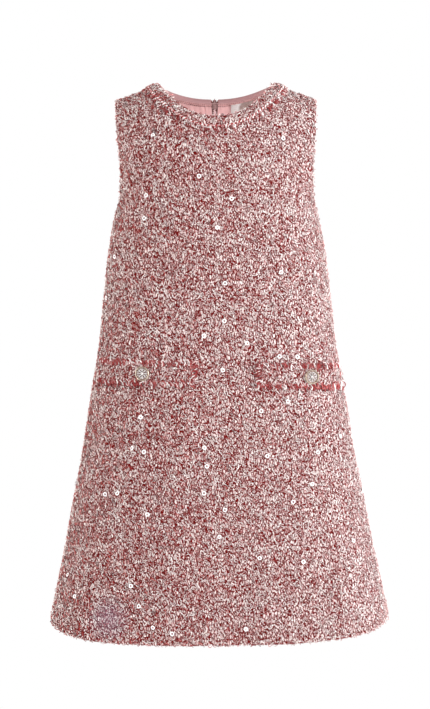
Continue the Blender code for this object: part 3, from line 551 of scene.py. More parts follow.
def make_bits_group():
    """Breaks a colour into the small bits that the yarns show as, leaning to either side.

    The bits vary, the gaps between them are deep red, and a painted sheen, paler towards the
    wearer's left, and the faded place lie over them.
    """
    group, given, out = new_group(
        "yarn bits",
        {"Colour": "Color", "Bits per Metre": BITS_PER_METRE, "Gap": YARN_GAP,
         "Softness": GAP_SOFTNESS, "Strength": 1.0, "Variation": BIT_VARIATION, "Nap": PAINTED_SHEEN_LIFT,
         "Gap Colour": GAP_COLOUR},
        {"Colour": "Color", "Height": "Float"})
    where = node(group, "ShaderNodeTexCoord").outputs["Object"]
    shifted = wandering(group, where, BIT_WANDER_SCALE, BIT_WANDER)
    other = maths(group, "GREATER_THAN", noise(group, where, PICKED_SCALE), PICKED_FROM)
    edges = []
    tones = []
    for lean in BIT_LEANS:
        leaning = node(group, "ShaderNodeMapping", Vector=shifted, Rotation=(0.0, lean, 0.0),
                       Scale=BIT_STRETCH)
        edge = node(group, "ShaderNodeTexVoronoi", {"feature": "DISTANCE_TO_EDGE"},
                    Vector=leaning.outputs[0], Scale=given["Bits per Metre"])
        cell = node(group, "ShaderNodeTexVoronoi", Vector=leaning.outputs[0],
                    Scale=given["Bits per Metre"])
        edges.append(edge.outputs["Distance"])
        tones.append(node(group, "ShaderNodeSeparateColor", in0=cell.outputs["Color"]).outputs[0])
    distance = node(group, "ShaderNodeMix", in0=other, in2=edges[0], in3=edges[1])
    tone = node(group, "ShaderNodeMix", in0=other, in2=tones[0], in3=tones[1])
    under = maths(group, "DIVIDE", maths(group, "SUBTRACT", given["Gap"],
                                         distance.outputs[0]), given["Softness"])
    gap = node(group, "ShaderNodeClamp", in0=under)
    varied = maths(group, "MULTIPLY", tone.outputs[0], given["Variation"])
    paler = blend_colours(group, varied, given["Colour"], BIT_COLOUR)
    # Painted sheen: the yarns are painted paler towards the wearer's left, where the key light falls
    nap = node(group, "ShaderNodeMapRange", in0=axes(group, where)[0], in1=PAINTED_SHEEN_FROM, in2=PAINTED_SHEEN_TO,
               in3=0.0, in4=given["Nap"])
    paler = blend_colours(group, nap.outputs[0], paler, PAINTED_SHEEN_COLOUR)
    deep = maths(group, "MULTIPLY", gap.outputs[0], given["Strength"])
    mixed = blend_colours(group, deep, paler, given["Gap Colour"])
    off = node(group, "ShaderNodeVectorMath", {"operation": "DISTANCE"}, in0=where, in1=FADED_AT)
    faded = node(group, "ShaderNodeMapRange", in0=off.outputs["Value"], in1=FADED_CORE,
                 in2=FADED_REACH, in3=FADED_SHARE, in4=0.0)
    wire(group, blend_colours(group, faded.outputs[0], mixed, FADED_COLOUR), out["Colour"])
    wire(group, maths(group, "SUBTRACT", 1.0, gap.outputs[0]), out["Height"])
    return group


bits_group = make_bits_group()


def new_material(name, roughness, sheen=0.0, metallic=0.0, coat=0.0, specular=0.5):
    """A material with its Principled shader, whose even values sit on the shader's sockets."""
    material = bpy.data.materials.new(name)
    material.use_nodes = True
    shader = material.node_tree.nodes["Principled BSDF"]
    values = {"Roughness": roughness, "Sheen Weight": sheen, "Metallic": metallic,
              "Coat Weight": coat, "Specular IOR Level": specular}
    for label, value in values.items():
        shader.inputs[label].default_value = value
    return material, material.node_tree, shader


def paint(tree, shader, colour, roughness=None, height=None, strength=0.0, distance=0.0):
    """Wires to a shader what varies over its piece: colour, roughness and the height of a bump."""
    wire(tree, colour, shader.inputs["Base Color"])
    if roughness is not None:
        wire(tree, roughness, shader.inputs["Roughness"])
    if height is not None:
        bump = node(tree, "ShaderNodeBump", Strength=strength, Distance=distance, Height=height)
        wire(tree, bump.outputs[0], shader.inputs["Normal"])


def cloth_uv(tree):
    return node(tree, "ShaderNodeUVMap", {"uv_map": "cloth"}).outputs[0]


def paned_bits(tree, colour, place, lift, gap, **values):
    """Bits of yarn that lie paler and closer together on the windowpane's lines."""
    pane = node(tree, "ShaderNodeGroup", {"node_tree": pane_group}, Place=place)
    lifted = maths(tree, "MULTIPLY", pane.outputs["Mask"], lift)
    paler = blend_colours(tree, lifted, colour, PANE_YARN)
    closer = maths(tree, "MULTIPLY_ADD", lifted, -PANE_CLOSER, gap)
    return node(tree, "ShaderNodeGroup", {"node_tree": bits_group}, Colour=paler, Gap=closer,
                **values)


def make_tweed():
    """The woven ground under the loops: patches of mixed yarn, broken into curled bits."""
    material, tree, shader = new_material("tweed", 0.9, sheen=0.08, specular=0.12)
    place = cloth_uv(tree)
    yarns = ramp(tree, noise(tree, place, 420.0, 1.0), GROUND_STOPS)
    bits = paned_bits(tree, yarns, place, PANE_LIFT, GROUND_GAP)
    paint(tree, shader, bits.outputs["Colour"], height=bits.outputs["Height"], strength=0.8,
          distance=0.0012)
    return material


tweed = make_tweed()

ZIP_NOTCH = 3.5
ZIP_NOTCH_DEPTH = 8.0
EDGE_ROLL = 0.30

# The outer points of the front and the two backs
halves = {hand: half_panel("front", hand) for hand in (LEFT, RIGHT)}
grids = {"front": np.concatenate([halves[RIGHT][:, :0:-1], halves[LEFT]], axis=1)}
for name, hand in HANDS.items():
    grids["back_" + name] = half_panel("back", hand)
normals = {}
places = {}
for name, grid in grids.items():
    normals[name] = outward_normals(grid)
    if name != "front":
        hand = HANDS[name.removeprefix("back_")]
        from_neck = lengths(grid[::-1, 0])[::-1]
        notch = ZIP_NOTCH * (1.0 - from_neck / ZIP_NOTCH_DEPTH)
        grid[:, 0, 0] = hand * np.maximum(notch, SEAM_GAP)
    places[name] = cloth_place(grid)
    panel = shell(name + "_cloth", grid, -normals[name], TWEED, places[name], tweed, EDGE_ROLL)
    cloth_piece(panel, "tweed", name)

# Loops of yarn on the tweed
# Curled ends and loops of rose, red and white yarn stand off the face of the cloth all over.
# They are the yarns themselves, so they lie on the panels with no stitching.

YARN_VALUES = {
    "Most per Square Metre": 300000.0,
    "Least Gap": 0.0018,
    "Seed": 1,
    "Length": 0.0044,
    "Thickness": 0.0015,
    "Slant": 2.36,
    "Spread": 0.45,
    "Stray Share": 0.45,
    "Stand Off": 0.16,
    "Lift": 0.0005,
}
# Yarns vary in slant by the bell, and in length and thickness from the least to the most
BELL_HALF = 0.7
LENGTH_RANGE = (0.65, 1.5)
THICKNESS_RANGE = (0.7, 1.35)
# Floats are beads of these segments and rings. Curls are strands, each with its points, its
# start, middle and end, along and across in lengths of the yarn and up in thicknesses
FLOAT_SEGMENTS = 3
FLOAT_RINGS = 2
CURL_SIDES = 3
CURL_RESOLUTION = 8
CURL_COLUMNS = ("points", "start", "middle", "end")
CURL_SHAPES = (
    (5, (-0.34, -0.22, 0.0), (0.85, 0.05, 2.6), (-0.28, 0.30, 0.3)),
    (4, (-0.40, -0.14, 0.0), (0.05, 0.60, 2.2), (0.42, -0.12, 0.3)),
    (4, (-0.38, 0.14, 0.2), (0.10, -0.52, 2.0), (0.40, 0.12, 0.4)),
    (3, (-0.50, 0.00, 0.0), (0.00, 0.30, 1.4), (0.50, 0.00, 0.0)),
    (3, (-0.40, -0.05, 0.5), (0.00, 0.24, 0.8), (0.42, 0.02, 0.2)),
    (3, (-0.34, 0.02, 0.2), (0.05, -0.26, 1.0), (0.36, 0.00, 0.8)),
)


def vector(tree, x, y, z):
    return node(tree, "ShaderNodeCombineXYZ", in0=x, in1=y, in2=z).outputs[0]


def new_growth(name, values):
    """A Geometry Nodes tree that makes a mesh from a mesh, these values and a material."""
    return new_group(name, {"Geometry": "Geometry", **values, "Material": "Material"},
                     {"Geometry": "Geometry"}, "GeometryNodeTree")


def grown(group, given, out, geometry):
    """Ends a tree with what its instances make, as real faces in its material."""
    real = node(group, "GeometryNodeRealizeInstances", in0=geometry)
    coloured = node(group, "GeometryNodeSetMaterial", in0=real.outputs[0],
                    Material=given["Material"])
    wire(group, coloured.outputs[0], out[0])
    return group


def moved(group, geometry, offset):
    return node(group, "GeometryNodeSetPosition", in0=geometry, Offset=offset).outputs[0]


def toned(group, instances, tone):
    """Gives each instance its tone, from 0 to 1, for its material to read."""
    made = node(group, "GeometryNodeStoreNamedAttribute",
                {"data_type": "FLOAT", "domain": "INSTANCE"}, in0=instances, Name="tone",
                Value=tone)
    return made.outputs[0]


def turned(group, rotation, turn):
    return node(group, "FunctionNodeRotateRotation", {"rotation_space": "LOCAL"},
                in0=rotation, in1=turn).outputs[0]


def turned_about(group, rotation, axis, angle):
    turn = node(group, "FunctionNodeAxisAngleToRotation", in0=axis, in1=angle)
    return turned(group, rotation, turn.outputs[0])


def bead(group, size, segments=6, rings=4, turn=(0.0, 0.0, 0.0)):
    """A small round bead, turned and then stretched to its size."""
    ball = node(group, "GeometryNodeMeshUVSphere", Segments=segments, Rings=rings, Radius=0.5)
    laid = node(group, "GeometryNodeTransform", in0=ball.outputs[0], Rotation=turn)
    return node(group, "GeometryNodeTransform", in0=laid.outputs[0], Scale=size).outputs[0]


def circle(group, radius, sides):
    made = node(group, "GeometryNodeCurvePrimitiveCircle", Resolution=sides, Radius=radius)
    return made.outputs[0]


def tube(group, line, thickness, sides, capped=True):
    profile = circle(group, maths(group, "MULTIPLY", thickness, 0.5), sides)
    made = node(group, "GeometryNodeCurveToMesh", in0=line, in1=profile, Fill_Caps=capped)
    return made.outputs[0]


def scatter(group, given):
    """Points at random over a mesh, none closer than the least gap, lifted off it."""
    made = node(group, "GeometryNodeDistributePointsOnFaces", {"distribute_method": "POISSON"},
                in0=given["Geometry"], Seed=given["Seed"])
    for label, value in (("Distance Min", "Least Gap"), ("Density Max", "Most per Square Metre")):
        socket = [item for item in made.inputs if item.name == label and item.enabled][0]
        wire(group, given[value], socket)
    off_cloth = node(group, "ShaderNodeVectorMath", {"operation": "SCALE"},
                     in0=made.outputs["Normal"], Scale=given["Lift"])
    return made, moved(group, made.outputs["Points"], off_cloth.outputs[0])


def lay_yarns(group, given, out, kinds, count=1):
    """Scatters yarns over a mesh that carries place and weft, and gives each one its tone."""

    def drawn(low, high, offset):
        made = node(group, "FunctionNodeRandomValue", in2=low, in3=high)
        wire(group, maths(group, "ADD", given["Seed"], offset), made.inputs["Seed"])
        return made.outputs[1]

    scattered, lifted = scatter(group, given)
    weft = node(group, "GeometryNodeInputNamedAttribute", {"data_type": "FLOAT_VECTOR"},
                Name="weft")
    stand = node(group, "FunctionNodeAxesToRotation",
                 {"primary_axis": "Z", "secondary_axis": "X"},
                 in0=scattered.outputs["Normal"], in1=weft.outputs[0])
    bell = maths(group, "ADD", drawn(-BELL_HALF, BELL_HALF, 11), drawn(-BELL_HALF, BELL_HALF, 12))
    near = maths(group, "MULTIPLY_ADD", bell, given["Spread"], given["Slant"])
    stray = maths(group, "LESS_THAN", drawn(0.0, 1.0, 13), given["Stray Share"])
    angle = node(group, "ShaderNodeMix", in0=stray, in2=near, in3=drawn(0.0, 2 * math.pi, 14))
    facing = turned_about(group, stand.outputs[0], (0.0, 0.0, 1.0), angle.outputs[0])
    tip = maths(group, "MULTIPLY", drawn(-1.0, 1.0, 15), given["Stand Off"])
    facing = turned_about(group, facing, (0.0, 1.0, 0.0), tip)
    size = vector(group, drawn(*LENGTH_RANGE, 16), drawn(*THICKNESS_RANGE, 17),
                  drawn(*THICKNESS_RANGE, 17))
    laid = node(group, "GeometryNodeInstanceOnPoints", in0=lifted, Instance=kinds,
                Rotation=facing, Scale=size)
    if count > 1:
        laid.inputs["Pick Instance"].default_value = True
        choice = node(group, "FunctionNodeFloatToInt", in0=drawn(0.0, count - 0.001, 18))
        wire(group, choice.outputs[0], laid.inputs["Instance Index"])
    return grown(group, given, out, toned(group, laid.outputs[0], drawn(0.0, 1.0, 19)))


def make_float_tree():
    """Short floats of yarn that rise out of the weave and dip back into it."""
    group, given, out = new_growth("yarn floats", YARN_VALUES)
    size = vector(group, given["Length"], given["Thickness"], given["Thickness"])
    laid = bead(group, size, FLOAT_SEGMENTS, FLOAT_RINGS, (0.0, math.pi / 2, 0.0))
    along = axes(group, node(group, "GeometryNodeInputPosition").outputs[0])[0]
    ends_off = maths(group, "DIVIDE", maths(group, "ABSOLUTE", along), given["Length"])
    rise = maths(group, "MULTIPLY", maths(group, "SUBTRACT", 0.5, ends_off), given["Thickness"])
    return lay_yarns(group, given, out, moved(group, laid, vector(group, 0.0, rise, rise)))


def make_curl_tree():
    """Longer ends and open loops of yarn that lie over the floats."""
    group, given, out = new_growth("yarn curls", YARN_VALUES)
    scales = (given["Length"], given["Length"], given["Thickness"])

    def place(shares):
        parts = [maths(group, "MULTIPLY", scale, share) for scale, share in zip(scales, shares)]
        return vector(group, *parts)

    kinds = node(group, "GeometryNodeJoinGeometry")
    for curl in rows_of(CURL_COLUMNS, CURL_SHAPES):
        bent = node(group, "GeometryNodeCurveQuadraticBezier",
                    Resolution=CURL_RESOLUTION,
                    Start=place(curl["start"]), Middle=place(curl["middle"]),
                    End=place(curl["end"]))
        fewer = node(group, "GeometryNodeResampleCurve", {"mode": "COUNT"}, in0=bent.outputs[0],
                     Count=curl["points"])
        strand = tube(group, fewer.outputs[0], given["Thickness"], CURL_SIDES)
        kind = node(group, "GeometryNodeGeometryToInstance", in0=strand)
        wire(group, kind.outputs[0], kinds.inputs[0])
    return lay_yarns(group, given, out, kinds.outputs[0], len(CURL_SHAPES))


float_tree = make_float_tree()
curl_tree = make_curl_tree()

# Yarn colours, with the share of the yarns that each one takes: the soft floats that cover most
# of the ground, and the curls that lie over both
YARN_COLUMNS = ("share", "colour")
LAST_STOP = 0.999
FLOAT_YARNS = (
    (0.13, (0.380, 0.022, 0.020)),
    (0.14, (0.600, 0.310, 0.295)),
    (0.30, (0.735, 0.545, 0.522)),
    (0.28, (0.805, 0.690, 0.668)),
    (0.16, (0.860, 0.790, 0.780)),
)
CURL_YARNS = (
    (0.23, (0.310, 0.013, 0.012)),
    (0.24, (0.460, 0.058, 0.050)),
    (0.18, (0.790, 0.640, 0.615)),
    (0.31, (0.930, 0.885, 0.866)),
    (0.04, (0.120, 0.080, 0.080)),
)


def yarn_stops(yarns):
    """Stops of a stepped ramp that gives each yarn its share."""
    start = 0.0
    stops = []
    for yarn in rows_of(YARN_COLUMNS, yarns):
        stops.append((min(start, LAST_STOP), yarn["colour"]))
        start += yarn["share"]
    return stops


def make_yarn_material(name, yarns, lift=PANE_LIFT, gaps=1.0, variation=BIT_VARIATION,
                       nap=PAINTED_SHEEN_LIFT):
    """Each yarn takes its colour from its tone, and lies paler on the windowpane's lines."""
    material, tree, shader = new_material(name, 0.82, sheen=0.08, specular=0.15)
    tone = node(tree, "ShaderNodeAttribute", {"attribute_name": "tone"})
    place = node(tree, "ShaderNodeAttribute", {"attribute_name": "place"})
    even = ramp(tree, tone.outputs["Fac"], yarn_stops(yarns), "CONSTANT")
    bits = paned_bits(tree, even, place.outputs["Vector"], lift, YARN_GAP, Strength=gaps,
                      Variation=variation, Nap=nap)
    paint(tree, shader, bits.outputs["Colour"])
    return material


floats = make_yarn_material("floats", FLOAT_YARNS)
curls = make_yarn_material("curls", CURL_YARNS, gaps=0.5, variation=0.2)


def plain_mesh(name, carrier):
    """What the carrier's modifiers make, as a mesh of its own. The carrier is removed."""
    depsgraph = bpy.context.evaluated_depsgraph_get()
    mesh = bpy.data.meshes.new_from_object(carrier.evaluated_get(depsgraph),
                                           preserve_all_data_layers=True, depsgraph=depsgraph)
    mesh.name = name
    spare = carrier.data
    bpy.data.objects.remove(carrier)
    bpy.data.meshes.remove(spare)
    mesh.shade_smooth()
    return new_object(name, mesh)


def grow(name, mesh, tree, **values):
    """Runs a Geometry Nodes tree on a mesh, with its named inputs, and keeps the result."""
    carrier = new_object(name + "_carrier", mesh)
    step = carrier.modifiers.new("grow", "NODES")
    step.node_group = tree
    sockets = {item.name: item.identifier for item in tree.interface.items_tree
               if item.item_type == "SOCKET" and item.in_out == "INPUT"}
    for label, value in values.items():
        step[sockets[label.replace("_", " ")]] = value
    return plain_mesh(name, carrier)


def skin_mesh(name, grid, out_normals, place, bare=False):
    """The outer skin alone, for yarn to lie on. bare marks the points that keep none."""
    rows, columns = grid.shape[:2]
    faces = strip_faces(rows, columns)
    covered = ~np.broadcast_to(bare, (rows, columns)).ravel()[faces[:, 0]]
    mesh = bpy.data.meshes.new(name)
    mesh.from_pydata((grid.reshape(-1, 3) * MM).tolist(), [], faces[covered].tolist())
    middle = mesh.polygons[len(mesh.polygons) // 2]
    if middle.normal.dot(Vector(out_normals.reshape(-1, 3)[middle.vertices[0]])) < 0:
        mesh.flip_normals()
    write_place(mesh, place.reshape(-1, 2), unit(np.gradient(grid, axis=1)).reshape(-1, 3))
    return mesh


def grow_over(name, points, out_normals, place, slot="tweed", bare=False, **values):
    """What a tree grows over a patch of cloth, riding with it."""
    ground = skin_mesh(name, points, out_normals, place, bare)
    return cloth_piece(grow(name, ground, **values), slot)


# A kind of yarn: the tree that grows it, its material and the values of the tree's inputs
FLOATS = {"tree": float_tree, "Material": floats, "Length": 0.0039, "Thickness": 0.0012,
          "Lift": 0.0001, "Least_Gap": 0.0020, "Most_per_Square_Metre": 350000.0}
CURLS = {"tree": curl_tree, "Material": curls, "Length": 0.0045, "Thickness": 0.0008,
         "Lift": 0.0009, "Least_Gap": 0.0026, "Most_per_Square_Metre": 80000.0}
# The yarns on a panel: the shares of its rows that they start and end at, and how many rows at
# its neck edge keep none
YARN_LAYER_COLUMNS = ("name", "panel", "low", "high", "bare_rows", "yarns", "seed")
YARN_LAYERS = (
    ("front_floats_skirt", "front", 0.00, 0.42, 0, FLOATS, 1),
    ("front_floats_chest", "front", 0.42, 1.00, 0, FLOATS, 2),
    ("front_curls_skirt", "front", 0.00, 0.42, 0, CURLS, 3),
    ("front_curls_chest", "front", 0.42, 1.00, 0, CURLS, 8),
    ("back_left_floats", "back_left", 0.00, 1.00, 7, FLOATS, 4),
    ("back_left_curls", "back_left", 0.00, 1.00, 8, CURLS, 5),
    ("back_right_floats", "back_right", 0.00, 1.00, 7, FLOATS, 6),
    ("back_right_curls", "back_right", 0.00, 1.00, 8, CURLS, 7),
)
for layer in rows_of(YARN_LAYER_COLUMNS, YARN_LAYERS):
    panel = layer["panel"]
    last = len(grids[panel]) - 1
    span = slice(round(layer["low"] * last), round(layer["high"] * last) + 1)
    bare = np.zeros(grids[panel][span].shape[:2], dtype=bool)
    bare[len(bare) - layer["bare_rows"]:, :NECK_STEPS + 1] = True
    grow_over(layer["name"], grids[panel][span], normals[panel][span], places[panel][span],
              bare=bare, Seed=layer["seed"], **layer["yarns"])

# Neck trim
# A strip of the same tweed laid flat round the neck and sewn along both edges. A corded row of
# red and white yarn runs along its outer edge, and the yarn ends are frayed beyond it.

TRIM_WIDTH = 14.0
TRIM_EDGE = 2.2
TRIM_CROWN = 3.0
TRIM_END_FROM_ZIP = 4.4
TRIM_SET_DOWN_AT_BACK = 4.0
TRIM_SETS_DOWN_OVER = 30.0
TRIM_STEPS = 200
TRIM_ROWS = 9
# Behind, the trim's upper edge is pressed flat and keeps no loose yarn
TRIM_BARE_FROM_TURN = 105.0
TRIM_BARE_ROWS = 3
LAYER_GAP = 0.3
FRAY_START = 1.0
FRAY_REACH = 3.4
FRAY_LIFTS = (1.6, 1.4, 1.1, 0.9)
CORD_LIFT = 1.0
CORD_BEAD_RANGE = (0.75, 1.2)
# How far out from the neck the surface is followed, and in what steps
NECK_REACH = 40.0
NECK_STRIDE = 0.5
TURN_SAMPLES = 721
# The uneven swell of a strip: waves by place along and across, and where each starts
SWELL_WAVES = ((0.21, 0.9, 0.0), (0.47, -0.6, 1.3), (0.093, 0.0, 2.2))


def on_shoulders(plan):
    """Outer surface of the yoke over points of the plan."""
    x = plan[:, 0]
    y = plan[:, 1]
    height = np.empty(len(plan))
    for side, facing in FACING_Y.items():
        here = y * facing >= 0
        power = OVER_SQUARENESS[side]
        share = np.abs(y[here]) / depth_over(side, x[here], SHOULDER_BREADTH)
        lean = (1.0 - np.clip(share, 0.0, 1.0) ** power) ** (1.0 / power)
        height[here] = UNDERARM + (ridge_height(x[here]) - UNDERARM) * lean
    return np.column_stack([x, y, height])


def out_from_neck(turn, distances):
    """Points and surface normals at these distances from the neck edge, on the outside."""
    place, outward = neck_edge(turn)
    path = on_shoulders(place + np.arange(0.0, NECK_REACH, NECK_STRIDE)[:, None] * outward)
    length = lengths(path)
    points = np.column_stack([np.interp(distances, length, path[:, axis]) for axis in range(3)])
    east, north = [on_shoulders(points[:, :2] + nudge) - on_shoulders(points[:, :2] - nudge)
                   for nudge in np.eye(2) * NECK_STRIDE]
    return points, unit(np.cross(east, north))


def trim_start(turn):
    """How far below the neck edge the trim starts: it sits lower behind."""
    return TRIM_SET_DOWN_AT_BACK * float(ease((abs(turn) - 90.0) / TRIM_SETS_DOWN_OVER))


def trim_turns(count):
    """Turns round the neck from one end of the trim to the other, evenly spaced along it."""
    share = (TRIM_END_FROM_ZIP / NECK_HALF_WIDTH) ** (NECK_SQUARENESS / 2)
    last = 180.0 - math.degrees(math.asin(share))
    turns = np.linspace(-last, last, TURN_SAMPLES)
    length = lengths(np.array([neck_edge(turn)[0] for turn in turns]))
    return np.interp(np.linspace(0.0, length[-1], count), length, turns)


def neck_strip(near, far, columns):
    """Points and normals of a strip round the neck, between two distances out from its edge."""
    strip = [out_from_neck(turn, trim_start(turn) + np.linspace(near, far, columns))
             for turn in trim_turns(TRIM_STEPS + 1)]
    return np.array([row[0] for row in strip]), np.array([row[1] for row in strip])


def strip_place(points):
    """Where each point of a strip lies on its flat cloth: along it and across it."""
    return np.stack([lengths(points), lengths(points, 1)], axis=2)


def uneven(along, across, height):
    """A small uneven swell of a hand-sewn strip."""
    waves = [np.sin(along * run + across * over + start) for run, over, start in SWELL_WAVES]
    return height * sum(waves) / len(SWELL_WAVES)


def loose_strip(name, points, surface_normals, edge, crown, material, swell=0.35):
    """A soft strip that lies on the dress, crowned across its width."""
    place = strip_place(points)
    share = place[:, :, 1] / place[:, -1:, 1]
    lift = LAYER_GAP + edge + (crown - edge) * np.sin(math.pi * share)
    lift = lift + uneven(place[:, :, 0], place[:, :, 1], swell)
    upper = points + surface_normals * lift[:, :, None]
    lower = points + surface_normals * LAYER_GAP
    strip = shell(name, upper, (lower - upper) / edge, edge, place, material, EDGE_ROLL)
    return strip, upper, place


def along_line(group, given):
    """Points along a line at the pitch, and which of them are every other one, as 0 or 1."""
    line = node(group, "GeometryNodeMeshToCurve", in0=given["Geometry"])
    spaced = node(group, "GeometryNodeCurveToPoints", {"mode": "LENGTH"}, in0=line.outputs[0],
                  Length=given["Pitch"])
    number = node(group, "GeometryNodeInputIndex").outputs[0]
    return spaced.outputs, maths(group, "MODULO", number, 2.0)


def make_cord_tree():
    """Beads of alternating yarn strung along a line, as a corded row."""
    group, given, out = new_growth("corded row", {
        "Pitch": 0.0026, "Thickness": 0.0017, "Bead Share": 1.35, "Lean": 0.7, "Seed": 1})
    spaced, other = along_line(group, given)
    size = vector(group, given["Thickness"], given["Thickness"],
                  maths(group, "MULTIPLY", given["Pitch"], given["Bead Share"]))
    leaning = turned_about(group, spaced["Rotation"], (1.0, 0.0, 0.0), given["Lean"])
    least, most = CORD_BEAD_RANGE
    scale = node(group, "FunctionNodeRandomValue", in2=least, in3=most, Seed=given["Seed"])
    strung = node(group, "GeometryNodeInstanceOnPoints", in0=spaced[0],
                  Instance=bead(group, size), Rotation=leaning, Scale=scale.outputs[1])
    drawn = node(group, "FunctionNodeRandomValue", in2=0.0, in3=0.49, Seed=given["Seed"])
    tone = maths(group, "MULTIPLY_ADD", other, 0.5, drawn.outputs[1])
    return grown(group, given, out, toned(group, strung.outputs[0], tone))


def line_mesh(name, path):
    mesh = bpy.data.meshes.new(name)
    mesh.from_pydata((path * MM).tolist(), [(step, step + 1) for step in range(len(path) - 1)],
                     [])
    return mesh


FRAY_YARNS = (
    (0.62, (0.250, 0.010, 0.012)),
    (0.10, (0.420, 0.080, 0.078)),
    (0.08, (0.700, 0.480, 0.470)),
    (0.20, (0.900, 0.840, 0.830)),
)
CORD_YARNS = (
    (0.46, (0.360, 0.010, 0.016)),
    (0.12, (0.560, 0.240, 0.235)),
    (0.16, (0.760, 0.560, 0.550)),
    (0.26, (0.930, 0.880, 0.870)),
)
# These yarns take no painted sheen
DEEP_YARN_LOOK = {"lift": 0.0, "gaps": 0.2, "variation": 0.1, "nap": 0.0}
frays = make_yarn_material("frays", FRAY_YARNS, **DEEP_YARN_LOOK)
cord = make_yarn_material("cord", CORD_YARNS, **DEEP_YARN_LOOK)
cord_tree = make_cord_tree()
TRIM_CURLS = {"tree": curl_tree, "Material": curls, "Most_per_Square_Metre": 120000.0,
              "Least_Gap": 0.0022, "Length": 0.0046, "Thickness": 0.0009, "Stand_Off": 0.35,
              "Lift": 0.0007}
TRIM_FRAYS = {"tree": curl_tree, "Material": frays, "Least_Gap": 0.0011, "Length": 0.0050,
              "Thickness": 0.0010, "Slant": 0.30, "Spread": 0.40, "Stray_Share": 0.15,
              "Stand_Off": 0.25, "Lift": 0.0}

trim_points, trim_normals = neck_strip(0.0, TRIM_WIDTH, TRIM_ROWS)
trim, trim_top, trim_place = loose_strip("neck_trim_cloth", trim_points, trim_normals, TRIM_EDGE,
                                         TRIM_CROWN, tweed)
bare_behind = np.zeros(trim_top.shape[:2], dtype=bool)
bare_behind[np.abs(trim_turns(TRIM_STEPS + 1)) > TRIM_BARE_FROM_TURN, :TRIM_BARE_ROWS] = True
grow_over("neck_trim_floats", trim_top, trim_normals, trim_place, "tweed_trim", bare_behind,
          Seed=21, **FLOATS)
grow_over("neck_trim_curls", trim_top, trim_normals, trim_place, "tweed_trim", bare_behind,
          Seed=22, **TRIM_CURLS)
fray_points, fray_normals = neck_strip(TRIM_WIDTH + FRAY_START, TRIM_WIDTH + FRAY_REACH,
                                       len(FRAY_LIFTS))
fray_points = fray_points + fray_normals * (LAYER_GAP + np.array(FRAY_LIFTS))[:, None]
trim_frays = grow_over("neck_trim_frays", fray_points, fray_normals, strip_place(fray_points),
                       "tweed_trim", Seed=23, **TRIM_FRAYS)
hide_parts("neck_trim_fringe")
cord_path = trim_top[:, -2] + trim_normals[:, -2] * CORD_LIFT
trim_cord = grow("neck_trim_cord", line_mesh("neck_trim_cord", cord_path), cord_tree,
                 Pitch=0.0021, Thickness=0.0015, Lean=0.6, Seed=24, Material=cord)
cloth_piece(trim_cord, "tweed_trim")
cloth_piece(trim, "tweed_trim", "neck_trim")

# Mock pocket flaps
# Two straight strips of the same tweed sewn flat on the front, frayed along the top, the inner
# end and the bottom. The one on the wearer's left droops and has loops of yarn at its outer end.

FLAP_COLUMNS = ("name", "inner_end", "length", "height", "droop", "button_along", "button_turn",
                "seed")
FLAPS = (
    ("right", 28.0, 116.0, -303.5, 1.0, 53.0, 6.0, 30),
    ("left", 41.5, 116.0, -306.5, 7.0, 57.0, 16.0, 40),
)
FLAP_WIDTH = 19.0
FLAP_STEPS = 58
FLAP_ROWS = 11
FLAP_THICK = 2.4
FLAP_EDGE_SHARE = 0.85
FLAP_LIFT_AT_LOWER_EDGE = 1.0
FLAP_LIFT_ENDS_BELOW = 0.9
FLAP_SWELL = 0.25
FLAP_FRAY_REACH = 3.0
FLAP_FRAY_LIFTS = (2.0, 1.7, 1.3, 0.9)
FLAP_FRAYS = {"tree": curl_tree, "Material": frays, "Most_per_Square_Metre": 600000.0,
              "Least_Gap": 0.0012, "Length": 0.0072, "Thickness": 0.0012, "Slant": 0.42,
              "Spread": 0.25, "Stray_Share": 0.08, "Stand_Off": 0.20, "Lift": 0.0}
# Stations round a flap's edge are this far apart, and its corners are rounded over this many
STATION_GAP = 1.5
CORNER_STATIONS = 5


def on_flap(flap, along, up):
    """Points and normals over the front, measured along a flap and up from its middle."""
    hand = HANDS[flap["name"]]
    share = (along - flap["inner_end"]) / flap["length"]
    height = flap["height"] - flap["droop"] * share + up
    at = skirt_points("front", hand, height, along=along)
    east = skirt_points("front", hand, height, along=along + 1.0) - at
    north = skirt_points("front", hand, height + 1.0, along=along) - at
    facing = unit(np.cross(east, north) * hand)
    low = 0.5 - np.clip(up / FLAP_WIDTH, -FLAP_LIFT_ENDS_BELOW, 0.5)
    return at + facing * (FLAP_LIFT_AT_LOWER_EDGE * low)[:, None], facing


def flap_patch(flap, stations, outward, reach, columns):
    """A grid over the front: stations are (along, up) pairs, each run outward by reach."""
    steps = np.linspace(0.0, reach, columns)
    at = stations[:, None] + outward[:, None] * steps[None, :, None]
    points, facing = on_flap(flap, at[:, :, 0].ravel(), at[:, :, 1].ravel())
    return points.reshape(*at.shape[:2], 3), facing.reshape(*at.shape[:2], 3)


def flap_edge(flap):
    """Stations round the top, the inner end and the bottom of a flap, and the way out of each."""
    half = FLAP_WIDTH / 2
    start = flap["inner_end"]
    end = start + flap["length"]
    sides = (((end, half), (start, half), (0.0, 1.0)), ((start, half), (start, -half), (-1.0, 0.0)),
             ((start, -half), (end, -half), (0.0, -1.0)))
    stations = []
    outward = []
    for first, last, out in sides:
        count = int(math.dist(first, last) / STATION_GAP)
        stations += np.linspace(first, last, count).tolist()
        outward += [out] * count
    outward = np.array(outward)
    kernel = np.ones(CORNER_STATIONS) / CORNER_STATIONS
    beyond = CORNER_STATIONS // 2
    padded = np.pad(outward, ((beyond, beyond), (0, 0)), mode="edge")
    outward = np.column_stack([np.convolve(padded[:, axis], kernel, "valid") for axis in (0, 1)])
    return np.array(stations), unit(outward)


